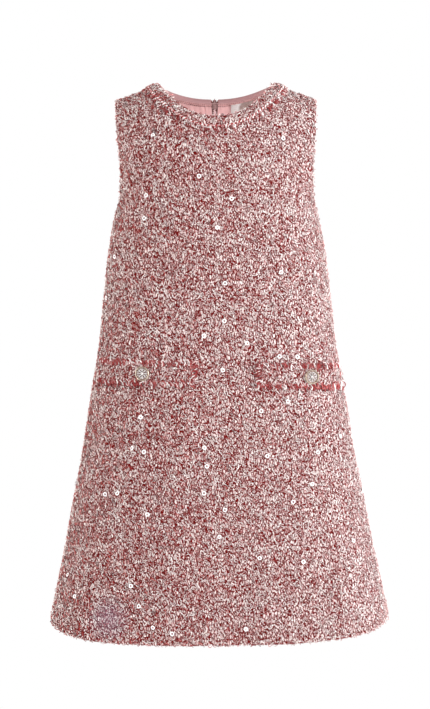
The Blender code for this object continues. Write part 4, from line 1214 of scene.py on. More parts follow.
flaps = {flap["name"]: flap for flap in rows_of(FLAP_COLUMNS, FLAPS)}
for flap in flaps.values():
    name = "flap_" + flap["name"]
    seed = flap["seed"]
    along = flap["inner_end"] + np.linspace(0.0, flap["length"], FLAP_STEPS + 1)
    bottom = np.column_stack([along, np.full(len(along), -FLAP_WIDTH / 2)])
    upward = np.tile([0.0, 1.0], (len(along), 1))
    points, facing = flap_patch(flap, bottom, upward, FLAP_WIDTH, FLAP_ROWS)
    cloth, top, place = loose_strip(name + "_cloth", points, facing,
                                    FLAP_THICK * FLAP_EDGE_SHARE, FLAP_THICK, tweed, FLAP_SWELL)
    cloth_piece(cloth, "tweed", name)
    grow_over(name + "_floats", top, facing, place, Seed=seed + 1, **FLOATS)
    grow_over(name + "_curls", top, facing, place, Seed=seed + 2, **CURLS)
    edge, edge_facing = flap_patch(flap, *flap_edge(flap), FLAP_FRAY_REACH, len(FLAP_FRAY_LIFTS))
    edge = edge + edge_facing * (LAYER_GAP + np.array(FLAP_FRAY_LIFTS))[:, None]
    frayed = grow_over(name + "_frays", edge, edge_facing, strip_place(edge), "tweed_trim",
                       Seed=seed + 3, **FLAP_FRAYS)
    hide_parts(name + "_fringe")

# Loops of yarn that have pulled loose where the flaps run round the sides: where each stands
# along a flap and up from its middle, how far it stands off, half its height, and its tone
LOOSE_LOOP_COLUMNS = ("flap", "along", "up", "reach", "half_height", "tone")
LOOSE_LOOPS = (
    ("left", 153.0, 8.0, 3.6, 4.4, 0.80),
    ("left", 150.0, 1.5, 3.2, 3.6, 0.68),
    ("left", 155.0, -10.5, 5.2, 3.8, 0.30),
    ("left", 152.0, -8.0, 4.0, 3.0, 0.80),
    ("right", 147.0, 2.0, 2.8, 2.6, 0.70),
    ("right", 150.0, -18.0, 3.4, 2.4, 0.74),
)
LOOSE_LOOP_STEPS = 14
LOOSE_LOOP_SIDES = 5
LOOSE_LOOP_FROM = -0.2
LOOSE_LOOP_TO = math.pi + 0.35
LOOSE_LOOP_UP = (0, 0.3, 1)


def make_loose_yarn_tree():
    """A plain round yarn along a line."""
    group, given, out = new_growth("loose yarn", {"Thickness": 0.001})
    line = node(group, "GeometryNodeMeshToCurve", in0=given["Geometry"])
    yarn = tube(group, line.outputs[0], given["Thickness"], LOOSE_LOOP_SIDES)
    return grown(group, given, out, yarn)


loop_points = []
loop_edges = []
loop_tones = []
for loop in rows_of(LOOSE_LOOP_COLUMNS, LOOSE_LOOPS):
    root, facing = on_flap(flaps[loop["flap"]], np.array([loop["along"]]), np.array([loop["up"]]))
    turns = np.linspace(LOOSE_LOOP_FROM, LOOSE_LOOP_TO, LOOSE_LOOP_STEPS)
    off = loop["reach"] * np.sin(turns) + LAYER_GAP
    up = np.outer(np.cos(turns) * loop["half_height"], LOOSE_LOOP_UP)
    first = len(loop_points)
    loop_edges += [(step, step + 1) for step in range(first, first + LOOSE_LOOP_STEPS - 1)]
    loop_points += ((root + facing * off[:, None] + up) * MM).tolist()
    loop_tones += [loop["tone"]] * LOOSE_LOOP_STEPS
loop_lines = bpy.data.meshes.new("loose_loops")
loop_lines.from_pydata(loop_points, loop_edges, [])
loop_lines.attributes.new("tone", "FLOAT", "POINT").data.foreach_set("value", loop_tones)
loose_loops = grow("flap_loose_loops", loop_lines, make_loose_yarn_tree(), Thickness=0.0011,
                   Material=frays)
cloth_piece(loose_loops, "tweed_trim")

# Buttons
# A round champagne metal setting with a beaded rim, sewn on by its shank. Eight narrow crystal
# petals, and small stones between them, are glued into its well, painted dark as painted shade,
# round a domed centre stone.

BUTTON_RADIUS = 7.8
BUTTON_SEGMENTS = 64
SHANK_RADIUS = 1.3
WELL_FLOOR = 1.4
PROFILE_COLUMNS = ("radius", "height")
BUTTON_PROFILE = (
    (SHANK_RADIUS, 0.0),
    (6.9, 0.0),
    (7.5, 0.5),
    (BUTTON_RADIUS, 1.2),
    (7.7, 2.0),
    (7.45, 2.6),
    (7.1, 2.85),
    (6.8, 2.7),
    (6.6, 2.4),
    (6.6, 1.5),
    (3.5, WELL_FLOOR),
    (0.0, WELL_FLOOR),
)
RIM_BEADS = 44
RIM_BEAD_RADIUS = 0.34
RIM_BEAD_AT = (7.05, 2.75)
RIM_BEAD_CUTS = {"u_segments": 8, "v_segments": 5}
METAL_SHARP_FROM = 35.0
CRYSTAL_SHARP_FROM = 12.0
# A petal's outline in shares of its length and half width, and its ridge in shares of its rise
PETAL_OUTLINE = ((0.0, 0.0), (0.3, 1.0), (0.75, 1.0), (1.0, 0.0), (0.75, -1.0), (0.3, -1.0))
PETAL_RIDGE = ((0.28, 0.8), (0.74, 1.0))
# Its end facets, each by a corner of the outline, a point of the ridge and the next corner
PETAL_ENDS = ((0, 0, 1), (5, 0, 0), (2, 1, 3), (3, 1, 4))
# A stone's radii, as shares of its own, at its foot and at the crown's step
STONE_FOOT = 0.7
STONE_CROWN = 0.62
STONE_STEP = 0.8
PETALS = 8
PETAL = {"inner": 1.5, "outer": 6.2, "half_width": 0.72, "girdle": 0.5, "rise": 1.1}
SMALL_STONE = {"at": 5.0, "radius": 0.85, "girdle": 0.35, "rise": 0.45, "sides": 6}
CENTRE_STONE = {"at": 0.0, "radius": 1.75, "girdle": 0.9, "rise": 1.0, "sides": 10}


def button_matrix(flap):
    """The button's own frame, across, up and out from the flap, and the length of its shank."""
    hand = HANDS[flap["name"]]
    along = np.array([flap["inner_end"] + flap["button_along"]])
    points, facing = on_flap(flap, along, np.zeros(1))
    turn = math.radians(flap["button_turn"]) * -hand
    outward = Matrix.Rotation(turn, 3, "Z") @ Vector(facing[0])
    outward.z = 0.0
    outward.normalize()
    across = Vector((0.0, 0.0, 1.0)).cross(outward)
    tilt = math.sin(abs(turn)) + abs(facing[0][2])
    lift = LAYER_GAP + tilt * BUTTON_RADIUS
    place = points[0] + facing[0] * (LAYER_GAP + FLAP_THICK) + np.array(outward) * lift
    matrix = Matrix([across, outward.cross(across), outward]).transposed().to_4x4()
    matrix.translation = Vector(place) * MM
    return matrix, tilt * (BUTTON_RADIUS - SHANK_RADIUS)


def add_turned(shape, profile, segments):
    """A closed turned form from a table of radii and heights, where a radius of 0 is a pole."""
    rings = []
    for at in rows_of(PROFILE_COLUMNS, profile):
        count = segments if at["radius"] else 1
        angles = [2 * math.pi * step / segments for step in range(count)]
        rings.append([shape.verts.new((at["radius"] * math.cos(angle) * MM,
                                       at["radius"] * math.sin(angle) * MM,
                                       at["height"] * MM)) for angle in angles])
    for lower, upper in zip(rings, rings[1:]):
        for step in range(segments):
            following = (step + 1) % segments
            corners = [lower[step % len(lower)], lower[following % len(lower)],
                       upper[following % len(upper)], upper[step % len(upper)]]
            shape.faces.new(list(dict.fromkeys(corners)))


def join_shape(shape, other):
    spare = bpy.data.meshes.new("spare")
    other.to_mesh(spare)
    other.free()
    shape.from_mesh(spare)
    bpy.data.meshes.remove(spare)


def add_stone(shape, stone, angle=0.0):
    """A round faceted stone on the well's floor."""
    made = bmesh.new()
    low = WELL_FLOOR + stone["girdle"]
    radius = stone["radius"]
    profile = ((0.0, WELL_FLOOR), (radius * STONE_FOOT, WELL_FLOOR), (radius, low),
               (radius * STONE_CROWN, low + stone["rise"] * STONE_STEP),
               (0.0, low + stone["rise"]))
    add_turned(made, profile, stone["sides"])
    offset = Vector((math.cos(angle), math.sin(angle), 0.0)) * stone["at"] * MM
    bmesh.ops.translate(made, verts=made.verts, vec=offset)
    join_shape(shape, made)


def add_petal(shape, angle):
    """A narrow faceted petal that runs out from the centre stone."""
    length = PETAL["outer"] - PETAL["inner"]
    low = WELL_FLOOR + PETAL["girdle"]

    def corner(share, side, height):
        radius = PETAL["inner"] + share * length
        across = side * PETAL["half_width"]
        return shape.verts.new((MM * (radius * math.cos(angle) - across * math.sin(angle)),
                                MM * (radius * math.sin(angle) + across * math.cos(angle)),
                                MM * height))

    floor = [corner(share, side, WELL_FLOOR) for share, side in PETAL_OUTLINE]
    girdle = [corner(share, side, low) for share, side in PETAL_OUTLINE]
    tops = [corner(share, 0.0, low + PETAL["rise"] * rise) for share, rise in PETAL_RIDGE]
    shape.faces.new(floor)
    for step in range(len(floor)):
        following = (step + 1) % len(floor)
        shape.faces.new((floor[step], girdle[step], girdle[following], floor[following]))
    for first, top, second in PETAL_ENDS:
        shape.faces.new((girdle[first], tops[top], girdle[second]))
    shape.faces.new((girdle[1], tops[0], tops[1], girdle[2]))
    shape.faces.new((girdle[4], tops[1], tops[0], girdle[5]))


def placed_piece(name, shape, matrix, material, sharp_from):
    """A bmesh put in its place, with each point's distance from the piece's own axis kept."""
    mesh = outward_mesh(shape, bpy.data.meshes.new(name))
    reach = [math.hypot(vert.co.x, vert.co.y) / (BUTTON_RADIUS * MM) for vert in mesh.vertices]
    mesh.attributes.new("reach", "FLOAT", "POINT").data.foreach_set("value", reach)
    mesh.transform(matrix)
    return put_in_scene(name, mesh, material, sharp_from)


def object_place(tree):
    return node(tree, "ShaderNodeTexCoord").outputs["Object"]


def grey(value):
    return (value, value, value)


def make_setting_metal():
    """Champagne metal, tarnished here and there, pale on the rim and painted darker into the well as
    painted shade.
    """
    material, tree, shader = new_material("button_metal", 0.3, metallic=1.0)
    reach = node(tree, "ShaderNodeAttribute", {"attribute_name": "reach"})
    worn = noise(tree, object_place(tree), 900.0, 3.0)
    # Painted shade: the metal is painted darker the nearer it lies to the middle of the well
    even = ramp(tree, reach.outputs["Fac"], ((0.20, (0.120, 0.055, 0.048)),
                                             (0.55, (0.330, 0.190, 0.170)),
                                             (0.84, (0.440, 0.310, 0.270)),
                                             (0.88, (0.700, 0.640, 0.530))))
    tarnish = ramp(tree, worn, ((0.35, (0.70, 0.66, 0.60)), (0.6, grey(1.0))))
    rough = ramp(tree, worn, ((0.3, grey(0.20)), (0.7, grey(0.42))))
    paint(tree, shader, blend_colours(tree, 1.0, even, tarnish, "MULTIPLY"), rough, worn,
          strength=0.15, distance=0.0001)
    return material


def make_crystal():
    """Clear faceted crystal, whose facets are painted as glints of warm, cool and white light."""
    material, tree, shader = new_material("crystal", 0.04, coat=1.0)
    shader.inputs["IOR"].default_value = 1.7
    shader.inputs["Transmission Weight"].default_value = 0.35
    # Painted glints: each facet-sized cell of the crystal is painted a warm, cool or white tone
    facets = node(tree, "ShaderNodeTexVoronoi", Vector=object_place(tree), Scale=620.0)
    painted_glint = node(tree, "ShaderNodeSeparateColor", in0=facets.outputs["Color"])
    paint(tree, shader, ramp(tree, painted_glint.outputs[0], ((0.0, (0.70, 0.62, 0.61)),
                                                      (0.35, (0.86, 0.81, 0.79)),
                                                      (0.65, (0.90, 0.92, 0.88)),
                                                      (0.9, grey(1.0)))))
    return material


setting_metal = make_setting_metal()
crystal = make_crystal()
for flap in flaps.values():
    name = "button_" + flap["name"]
    matrix, shank = button_matrix(flap)
    shape = bmesh.new()
    add_turned(shape, ((0.0, -shank), (SHANK_RADIUS, -shank), *BUTTON_PROFILE), BUTTON_SEGMENTS)
    for step in range(RIM_BEADS):
        angle = 2 * math.pi * step / RIM_BEADS
        at = Vector((RIM_BEAD_AT[0] * math.cos(angle), RIM_BEAD_AT[0] * math.sin(angle),
                     RIM_BEAD_AT[1])) * MM
        bmesh.ops.create_uvsphere(shape, radius=RIM_BEAD_RADIUS * MM,
                                  matrix=Matrix.Translation(at), **RIM_BEAD_CUTS)
    setting = placed_piece(name + "_setting", shape, matrix, setting_metal, METAL_SHARP_FROM)
    cloth_piece(setting, "button_metal", name)
    shape = bmesh.new()
    for step in range(PETALS):
        add_petal(shape, 2 * math.pi * step / PETALS)
        add_stone(shape, SMALL_STONE, 2 * math.pi * (step + 0.5) / PETALS)
    add_stone(shape, CENTRE_STONE)
    stones = placed_piece(name + "_crystals", shape, matrix, crystal, CRYSTAL_SHARP_FROM)
    cloth_piece(stones, "crystal", name + "_stones")

# Rolled edges
# The armholes and the hem are turned in once, so a soft rolled edge of tweed shows all round
# each, with short yarn ends standing off it.

ROLL_RADIUS = 1.6
ROLL_SIDES = 8
# Where the roll starts on its flat cloth, and how far apart its rings are at least
ROLL_PLACE = 6.0
RINGS_APART = 0.8
EDGE_ENDS = {"tree": curl_tree, "Material": curls, "Most_per_Square_Metre": 120000.0,
             "Least_Gap": 0.0020, "Length": 0.0044, "Thickness": 0.0008, "Stand_Off": 0.7,
             "Lift": 0.0003}


def roll_mesh(name, path, out_normals):
    """A closed tube of cloth round a loop of points, with its place and its weft."""
    ahead = unit(np.roll(path, -1, axis=0) - np.roll(path, 1, axis=0))
    across = unit(np.cross(ahead, out_normals))
    angles = np.linspace(0.0, 2 * math.pi, ROLL_SIDES, endpoint=False)
    rings = (path[:, None] + ROLL_RADIUS * (np.cos(angles)[None, :, None] * across[:, None]
                                            + np.sin(angles)[None, :, None]
                                            * np.cross(across, ahead)[:, None]))
    count = len(path)
    faces = []
    for step in range(count):
        for side in range(ROLL_SIDES):
            following = (side + 1) % ROLL_SIDES
            here = step * ROLL_SIDES
            there = (step + 1) % count * ROLL_SIDES
            faces.append((here + side, here + following, there + following, there + side))
    length = np.cumsum(np.linalg.norm(path - np.roll(path, 1, axis=0), axis=1))
    place = np.stack([np.repeat(length, ROLL_SIDES),
                      np.tile(angles * ROLL_RADIUS + ROLL_PLACE, count)], axis=1)
    mesh = closed_mesh(name, rings.reshape(-1, 3), faces)
    write_place(mesh, place, np.repeat(ahead, ROLL_SIDES, axis=0))
    add_uv(mesh, place)
    return mesh


def edge_lines(row=None, hand=None):
    """Points and normals along the hem's row or up and over one armhole, as a closed loop."""
    lines = []
    for values in (grids, normals):
        if hand is None:
            parts = [values["front"][row], values["back_left"][row, ::-1],
                     values["back_right"][row]]
        else:
            name = "back_left" if hand == LEFT else "back_right"
            parts = [values["front"][SKIRT_STEPS:, -1 if hand == LEFT else 0],
                     values[name][SKIRT_STEPS:, -1][::-1]]
        lines.append(np.concatenate(parts))
    path, out_normals = lines
    apart = np.linalg.norm(path - np.roll(path, 1, axis=0), axis=1) > RINGS_APART
    return path[apart] - unit(out_normals[apart]) * TWEED / 2, unit(out_normals[apart])


EDGE_COLUMNS = ("name", "row", "hand", "seed")
EDGES = (
    ("hem_roll", 0, None, 51),
    ("armhole_roll_left", None, LEFT, 52),
    ("armhole_roll_right", None, RIGHT, 53),
)
for edge in rows_of(EDGE_COLUMNS, EDGES):
    path, out_normals = edge_lines(edge["row"], edge["hand"])
    mesh = roll_mesh(edge["name"], path, out_normals)
    ends = grow(edge["name"] + "_ends", mesh.copy(), Seed=edge["seed"], **EDGE_ENDS)
    for piece in (put_in_scene(edge["name"], mesh, tweed), ends):
        cloth_piece(piece, "tweed")

# Back neck facing and binding
# Inside the back neck a dusty pink satin facing hides the raw edge of the tweed, one half each
# side of the zip. A stitched satin binding runs along its top and rolls over the neck edge.

SATIN = 1.0
TAPE = 0.8
FACING_FROM_ZIP = 3.8
FACING_ACROSS = 90
FACING_UP = 48
NECK_TURN_IN = 0.06
# Rows of the yoke below the neck edge, as a share of all its rows
NECK_EDGE = 0.0046
FACING_BOTTOM = 0.3846
TAPE_DEPTH = LAYER_GAP
FACING_DEPTH = TAPE_DEPTH + TAPE + LAYER_GAP
# The binding's section: how far past the neck edge, how deep inside the tweed, and how thick
BINDING_SECTION = (
    (-3.1, 2.7, 1.0),
    (-2.6, 2.7, 0.8),
    (-2.1, 2.7, 1.0),
    (-1.2, 2.7, 1.1),
    (-0.5, 2.6, 1.0),
    (-0.1, 2.4, 0.8),
    (0.25, 2.0, 0.9),
    (0.45, 1.3, 0.9),
    (0.55, 0.4, 0.8),
    (0.55, -0.6, 0.7),
    (0.50, -1.6, 0.6),
    (0.40, -2.4, 0.5),
)
# The binding row that is stitched, and how far below the neck edge the facing is
BINDING_STITCHED_ROW = 3
FACING_STITCHED_BELOW = 5.6
CREASES_START = 3.2
CREASES_GROW_OVER = 3.0
# Places across the cloth, in metres, where the satin starts to roll over the edge and is over
SATIN_ROLLS_AT = -0.0006
SATIN_ROLLED_AT = -0.0034
# Colour of the painted shade on the satin where it has rolled over the edge
SATIN_PAINTED_SHADE = (0.285, 0.152, 0.154, 1.0)
# How finely the satin's threads are drawn, across and along
SATIN_THREADS = (260.0, 3400.0, 1.0)
STITCH_LOOK = {"Bead_Share": 0.74, "Lean": 0.0, "Seed": 70}
SATIN_CREASE_COLUMNS = ("name", "along", "below", "reach", "half_width", "rise")
SATIN_CREASES = (
    ("right", 9.4, 9.0, 6.0, 1.3, 0.6),
    ("right", 11.2, 9.0, 7.0, 0.6, -0.9),
    ("right", 14.4, 9.0, 6.0, 2.2, 0.9),
    ("right", 20.5, 11.0, 5.0, 2.0, 0.7),
    ("right", 24.0, 8.0, 4.0, 1.2, -0.4),
    ("right", 28.0, 9.0, 5.0, 2.4, 0.6),
    ("left", 8.5, 10.0, 6.0, 1.6, 0.4),
    ("left", 15.0, 11.0, 6.0, 2.4, 0.4),
    ("left", 46.0, 12.0, 9.0, 2.6, 0.6),
)


def sample_grid(values, rows, columns):
    """Values of a grid at fractional rows, and at fractional columns given for each row."""
    row = np.broadcast_to(np.asarray(rows, float)[:, None], columns.shape)
    low = np.clip(row.astype(int), 0, values.shape[0] - 2)
    near = np.clip(columns.astype(int), 0, values.shape[1] - 2)
    up = (row - low)[:, :, None]
    over = (columns - near)[:, :, None]
    lower = values[low, near] * (1 - over) + values[low, near + 1] * over
    upper = values[low + 1, near] * (1 - over) + values[low + 1, near + 1] * over
    return lower * (1 - up) + upper * up


def column_at(grid, row, x):
    """The fractional column where a row passes the distance x from the centre."""
    line = sample_grid(grid, [row], np.arange(grid.shape[1], dtype=float)[None])[0]
    return float(np.interp(x, np.abs(line[:, 0]), np.arange(grid.shape[1])))


def neck_rows(bottom, top, count):
    """Rows of a back between two shares of the yoke below its neck edge, from the lower up."""
    return SKIRT_STEPS + YOKE_STEPS * (1.0 - np.linspace(bottom, top, count))


def columns_between(hand_name, rows, start, end, count):
    """For each row the columns between two distances from the zip. end None is the shoulder."""
    grid = grids["back_" + hand_name]
    last = NECK_STEPS - NECK_TURN_IN
    return np.array([np.linspace(column_at(grid, row, start),
                                 last if end is None else column_at(grid, row, end), count)
                     for row in rows])


def inside_back(hand_name, rows, columns, depth):
    """Points, outward normals, and the places on the cloth, at a depth inside a back."""
    panel = "back_" + hand_name
    facing = unit(sample_grid(normals[panel], rows, columns))
    points = sample_grid(grids[panel], rows, columns) - facing * (TWEED + depth)
    place = sample_grid(places[panel], rows, columns)
    edge = sample_grid(places[panel], np.full(len(rows), len(grids[panel]) - 1.0), columns)
    return points, facing, np.stack([place[:, :, 0], edge[:, :, 1] - place[:, :, 1]], axis=2)


def row_below(hand_name, below):
    """The fractional row of a back at a distance down the cloth from its neck edge."""
    up = places["back_" + hand_name][:, 0, 1]
    return float(np.interp(up[-1] - below, up, np.arange(len(up))))


def bound_edge(hand_name):
    """The binding's points, the way and distance through it to its face, and its places."""
    past, depth, thick = np.array(BINDING_SECTION).T
    rows = np.array([row_below(hand_name, max(0.0, -step)) for step in past])
    columns = columns_between(hand_name, rows, FACING_FROM_ZIP, None, FACING_ACROSS)
    base, facing, place = inside_back(hand_name, rows, columns, 0.0)
    under = inside_back(hand_name, rows - 1.0, columns, 0.0)[0]
    over_edge = unit(base - under)
    points = base + over_edge * np.maximum(past, 0.0)[:, None, None]
    points = points - facing * depth[:, None, None]
    rise, sink = np.gradient(past), np.gradient(depth)
    length = np.hypot(rise, sink)
    inward = over_edge * (-sink / length)[:, None, None] - facing * (rise / length)[:, None, None]
    place = np.stack([place[:, :, 0], place[:, :, 1] - np.cumsum(length)[:, None]], axis=2)
    return points, inward * (thick / SATIN)[:, None, None], place


def satin_relief(hand_name, place):
    """How far the facing's creases stand in from it."""
    along = place[:, :, 0]
    below = place[:, :, 1]
    relief = np.zeros(along.shape)
    free = ease((below - CREASES_START) / CREASES_GROW_OVER)
    for crease in rows_of(SATIN_CREASE_COLUMNS, SATIN_CREASES):
        if crease["name"] == hand_name:
            across = (along - crease["along"]) / crease["half_width"]
            down = (below - crease["below"]) / crease["reach"]
            relief = relief + crease["rise"] * free * np.exp(-(across**2) - down**2)
    return relief


def make_satin():
    """Fine satin: threads so thin that they show only as a soft streaky sheen.

    It is painted darker, as painted shade, where it rolls over the neck edge, which is the least
    place across the cloth.
    """
    material, tree, shader = new_material("satin", 0.42, specular=0.2)
    place = cloth_uv(tree)
    threads = node(tree, "ShaderNodeMapping", Vector=place, Scale=SATIN_THREADS)
    sheen_streaks = noise(tree, threads.outputs[0], 1.0)
    soft = noise(tree, place, 90.0)
    # Painted sheen: the streaks lighten and darken the satin's colour; they also set its roughness
    # and bump
    even = ramp(tree, sheen_streaks, ((0.35, (0.800, 0.450, 0.445)), (0.65, (0.900, 0.560, 0.550))))
    tint = ramp(tree, soft, ((0.3, (0.90, 0.86, 0.87)), (0.7, grey(1.0))))
    clean = blend_colours(tree, 1.0, even, tint, "MULTIPLY")
    # Painted shade: the satin is painted darker where it rolls over the neck edge
    rolled = node(tree, "ShaderNodeMapRange", in0=axes(tree, place)[1], in1=SATIN_ROLLS_AT,
                  in2=SATIN_ROLLED_AT)
    gloss = ramp(tree, sheen_streaks, ((0.3, grey(0.34)), (0.7, grey(0.5))))
    height = maths(tree, "ADD", maths(tree, "MULTIPLY", sheen_streaks, 0.25), soft)
    paint(tree, shader, blend_colours(tree, rolled.outputs[0], clean, SATIN_PAINTED_SHADE), gloss,
          height, strength=0.35, distance=0.0008)
    return material


def make_thread(name, colour, dark):
    """Sewing thread, twisted, with its two colours along the twist."""
    material, tree, shader = new_material(name, 0.55, sheen=0.1)
    twist = node(tree, "ShaderNodeTexWave", {"bands_direction": "DIAGONAL"},
                 Vector=object_place(tree), Scale=1400.0, Distortion=1.5)
    paint(tree, shader, ramp(tree, twist.outputs["Fac"], ((0.3, dark), (0.7, colour))))
    return material


satin = make_satin()
satin_thread = make_thread("satin_thread", (0.260, 0.080, 0.080), (0.150, 0.035, 0.035))


def stitch_row(name, path, slot, material, pitch=0.0024, thickness=0.0009):
    """A row of stitches along a line."""
    cloth_piece(grow(name, line_mesh(name, path), cord_tree, Pitch=pitch, Thickness=thickness,
                     Material=material, **STITCH_LOOK), slot)


for hand_name in HANDS:
    rows = neck_rows(FACING_BOTTOM, NECK_EDGE, FACING_UP)
    columns = columns_between(hand_name, rows, FACING_FROM_ZIP, None, FACING_ACROSS)
    points, facing, place = inside_back(hand_name, rows, columns, FACING_DEPTH)
    points = points - facing * satin_relief(hand_name, place)[:, :, None]
    stitched = int(np.argmin(np.abs(place[:, 0, 1] - FACING_STITCHED_BELOW)))
    lower = (points - facing * SATIN)[stitched]
    name = "neck_facing_" + hand_name
    facing_cloth = shell(name + "_satin", points, -facing, SATIN, place, satin, EDGE_ROLL)
    cloth_piece(facing_cloth, "satin", name)
    points, inward, place = bound_edge(hand_name)
    name = "neck_binding_" + hand_name
    binding = shell(name + "_satin", points, inward, SATIN, place, satin, EDGE_ROLL)
    cloth_piece(binding, "satin", name)
    upper = (points + inward * SATIN)[BINDING_STITCHED_ROW]
    for label, path in (("upper", upper), ("lower", lower)):
        stitch_row("neck_stitches_" + label + "_" + hand_name, path, "satin", satin_thread)

# Label
# A small bare woven label, folded under at its two short ends and sewn to the facing beside the
# zip on the wearer's left.

LABEL_FROM = 18.5
LABEL_TO = 43.0
LABEL_TOP = 0.1154
LABEL_BOTTOM = 0.3077
LABEL_THICK = 0.5
# The label lies over the binding, which lies over the facing
BINDING_DEPTH = FACING_DEPTH + SATIN + LAYER_GAP
LABEL_DEPTH = BINDING_DEPTH + SATIN + LAYER_GAP
LABEL_FOLD = 1.6
LABEL_UP = 16
LABEL_ACROSS = 30
LABEL_SWELL = 0.3
# The label stands up by this much near its two ends, over this many folds, and its waves are
# this much closer
LABEL_END_RISE = 0.5
LABEL_RISE_FOLDS = 3.0
LABEL_WAVES = 1.6
# The rows of stitches: the column each lies on, and how far it stands off the label
LABEL_STITCHED = {"inner": 2, "outer": -3}
LABEL_STITCH_OFF = 0.15
# Where the label turns darker and browner, from and to, as shares of its far end's distance
# from the zip
DUSKY_FROM = 0.61
DUSKY_TO = 0.68


def make_label_weave():
    """Close taffeta weave of thin pale grey threads, worn, and darker and browner towards the outer
    end.
    """
    material, tree, shader = new_material("label", 0.6, sheen=0.15)
    place = cloth_uv(tree)
    threads = [node(tree, "ShaderNodeTexWave", {"bands_direction": way}, Vector=place,
                    Scale=scale).outputs["Fac"] for way, scale in (("X", 500.0), ("Y", 700.0))]
    weave = maths(tree, "MAXIMUM", *threads)
    even = ramp(tree, weave, ((0.2, (0.560, 0.500, 0.495)), (0.9, (0.820, 0.770, 0.765))))
    tint = ramp(tree, noise(tree, place, 130.0), ((0.35, (0.86, 0.80, 0.78)), (0.6, grey(1.0))))
    clean = blend_colours(tree, 1.0, even, tint, "MULTIPLY")
    dusky = ramp(tree, maths(tree, "DIVIDE", axes(tree, place)[0], LABEL_TO * MM),
                 ((DUSKY_FROM, grey(1.0)), (DUSKY_TO, (0.50, 0.38, 0.35))))
    paint(tree, shader, blend_colours(tree, 1.0, clean, dusky, "MULTIPLY"), height=weave,
          strength=0.3, distance=0.0002)
    return material


label_weave = make_label_weave()
label_thread = make_thread("label_thread", (0.560, 0.500, 0.490), (0.300, 0.230, 0.220))
rows = neck_rows(LABEL_BOTTOM, LABEL_TOP, LABEL_UP)
columns = columns_between("left", rows, LABEL_FROM, LABEL_TO, LABEL_ACROSS)
points, facing, place = inside_back("left", rows, columns, LABEL_DEPTH)
from_end = np.minimum(place[:, :, 0] - LABEL_FROM, LABEL_TO - place[:, :, 0]) / LABEL_FOLD
swell = LABEL_END_RISE * ease(from_end) * (1.0 - ease(from_end / LABEL_RISE_FOLDS))
swell = swell + uneven(place[:, :, 0] * LABEL_WAVES, place[:, :, 1], LABEL_SWELL)
points = points - facing * np.maximum(swell, 0.0)[:, :, None]
label = shell("label_cloth", points, -facing, LABEL_THICK, place, label_weave, EDGE_ROLL)
cloth_piece(label, "label", "label")
for end_name, column in LABEL_STITCHED.items():
    path = points[:, column] - facing[:, column] * (LABEL_THICK + LABEL_STITCH_OFF)
    stitch_row("label_stitches_" + end_name, path, "label", label_thread, 0.0018, 0.0004)

# Zip
# A closed coil zip sewn inside the centre back: two woven tapes, the nylon coil between them, and
# a pale metal slider at the top with its pull hanging outside.

TAPE_FROM = 3.0
TAPE_TO = 12.6
TAPE_TOP = 2.6
ZIP_BOTTOM = -345.0
CHAIN_TOP = 10.6
CHAIN_BOTTOM = -343.0
COIL_PITCH = 0.0013
COIL_HALF = 0.0011
COIL_THICK = 0.0016
TAPE_UP = 110
TAPE_ACROSS = 9
COIL_STEPS = 160
# A turn of the coil: its width in half widths of the chain, and how far it laps over the next
TURN_REACH = 2.9
TURN_OVERLAP = 1.05
# The tape's herringbone: how wide its ribs run one way, and how close they are
RIB_RUN = 0.0016
RIB_WAVES = 9000.0
# How finely the scratches on the slider and pull are drawn
SCRATCHES = (4200.0, 900.0, 900.0)
# The slider and pull: corners sharper than this are rounded, and flatter ones are merged away
SHARP_CORNER = math.radians(25.0)
FLAT_CORNER = math.radians(2.0)
SLIDER_ROUNDING = 0.22
PULL_ROUNDING = 0.16
ZIP_SHARP_FROM = 30.0
SAME_POINT = 0.001


def make_tape_weave():
    """Herringbone twill of the zip tape."""
    material, tree, shader = new_material("zip_tape", 0.65, sheen=0.1)
    across, up, _ = axes(tree, cloth_uv(tree))
    slanted = maths(tree, "ADD", up, maths(tree, "PINGPONG", across, RIB_RUN))
    ribs = maths(tree, "SINE", maths(tree, "MULTIPLY", slanted, RIB_WAVES))
    even = ramp(tree, maths(tree, "MULTIPLY_ADD", ribs, 0.5, 0.5),
                ((0.2, (0.580, 0.350, 0.350)), (0.8, (0.780, 0.540, 0.535))))
    paint(tree, shader, even, height=ribs, strength=0.4, distance=0.0002)
    return material


def make_coil_nylon():
    material, tree, shader = new_material("zip_coil", 0.35, coat=0.2)
    paint(tree, shader, ramp(tree, noise(tree, object_place(tree), 260.0),
                             ((0.3, (0.680, 0.450, 0.450)), (0.7, (0.820, 0.590, 0.585)))))
    return material


def make_zip_metal():
    """Pale metal lacquered to go with the tweed, with fine scratches and dull hollows."""
    material, tree, shader = new_material("zip_metal", 0.3, metallic=0.35)
    where = object_place(tree)
    drawn = node(tree, "ShaderNodeMapping", Vector=where, Scale=SCRATCHES)
    scratches = noise(tree, drawn.outputs[0], 1.0, 3.0)
    dull = ramp(tree, noise(tree, where, 420.0), ((0.35, (0.280, 0.150, 0.145)),
                                                  (0.62, (0.400, 0.240, 0.235))))
    rough = ramp(tree, scratches, ((0.3, grey(0.24)), (0.7, grey(0.46))))
    paint(tree, shader, dull, rough, scratches, strength=0.12, distance=0.00005)
    return material


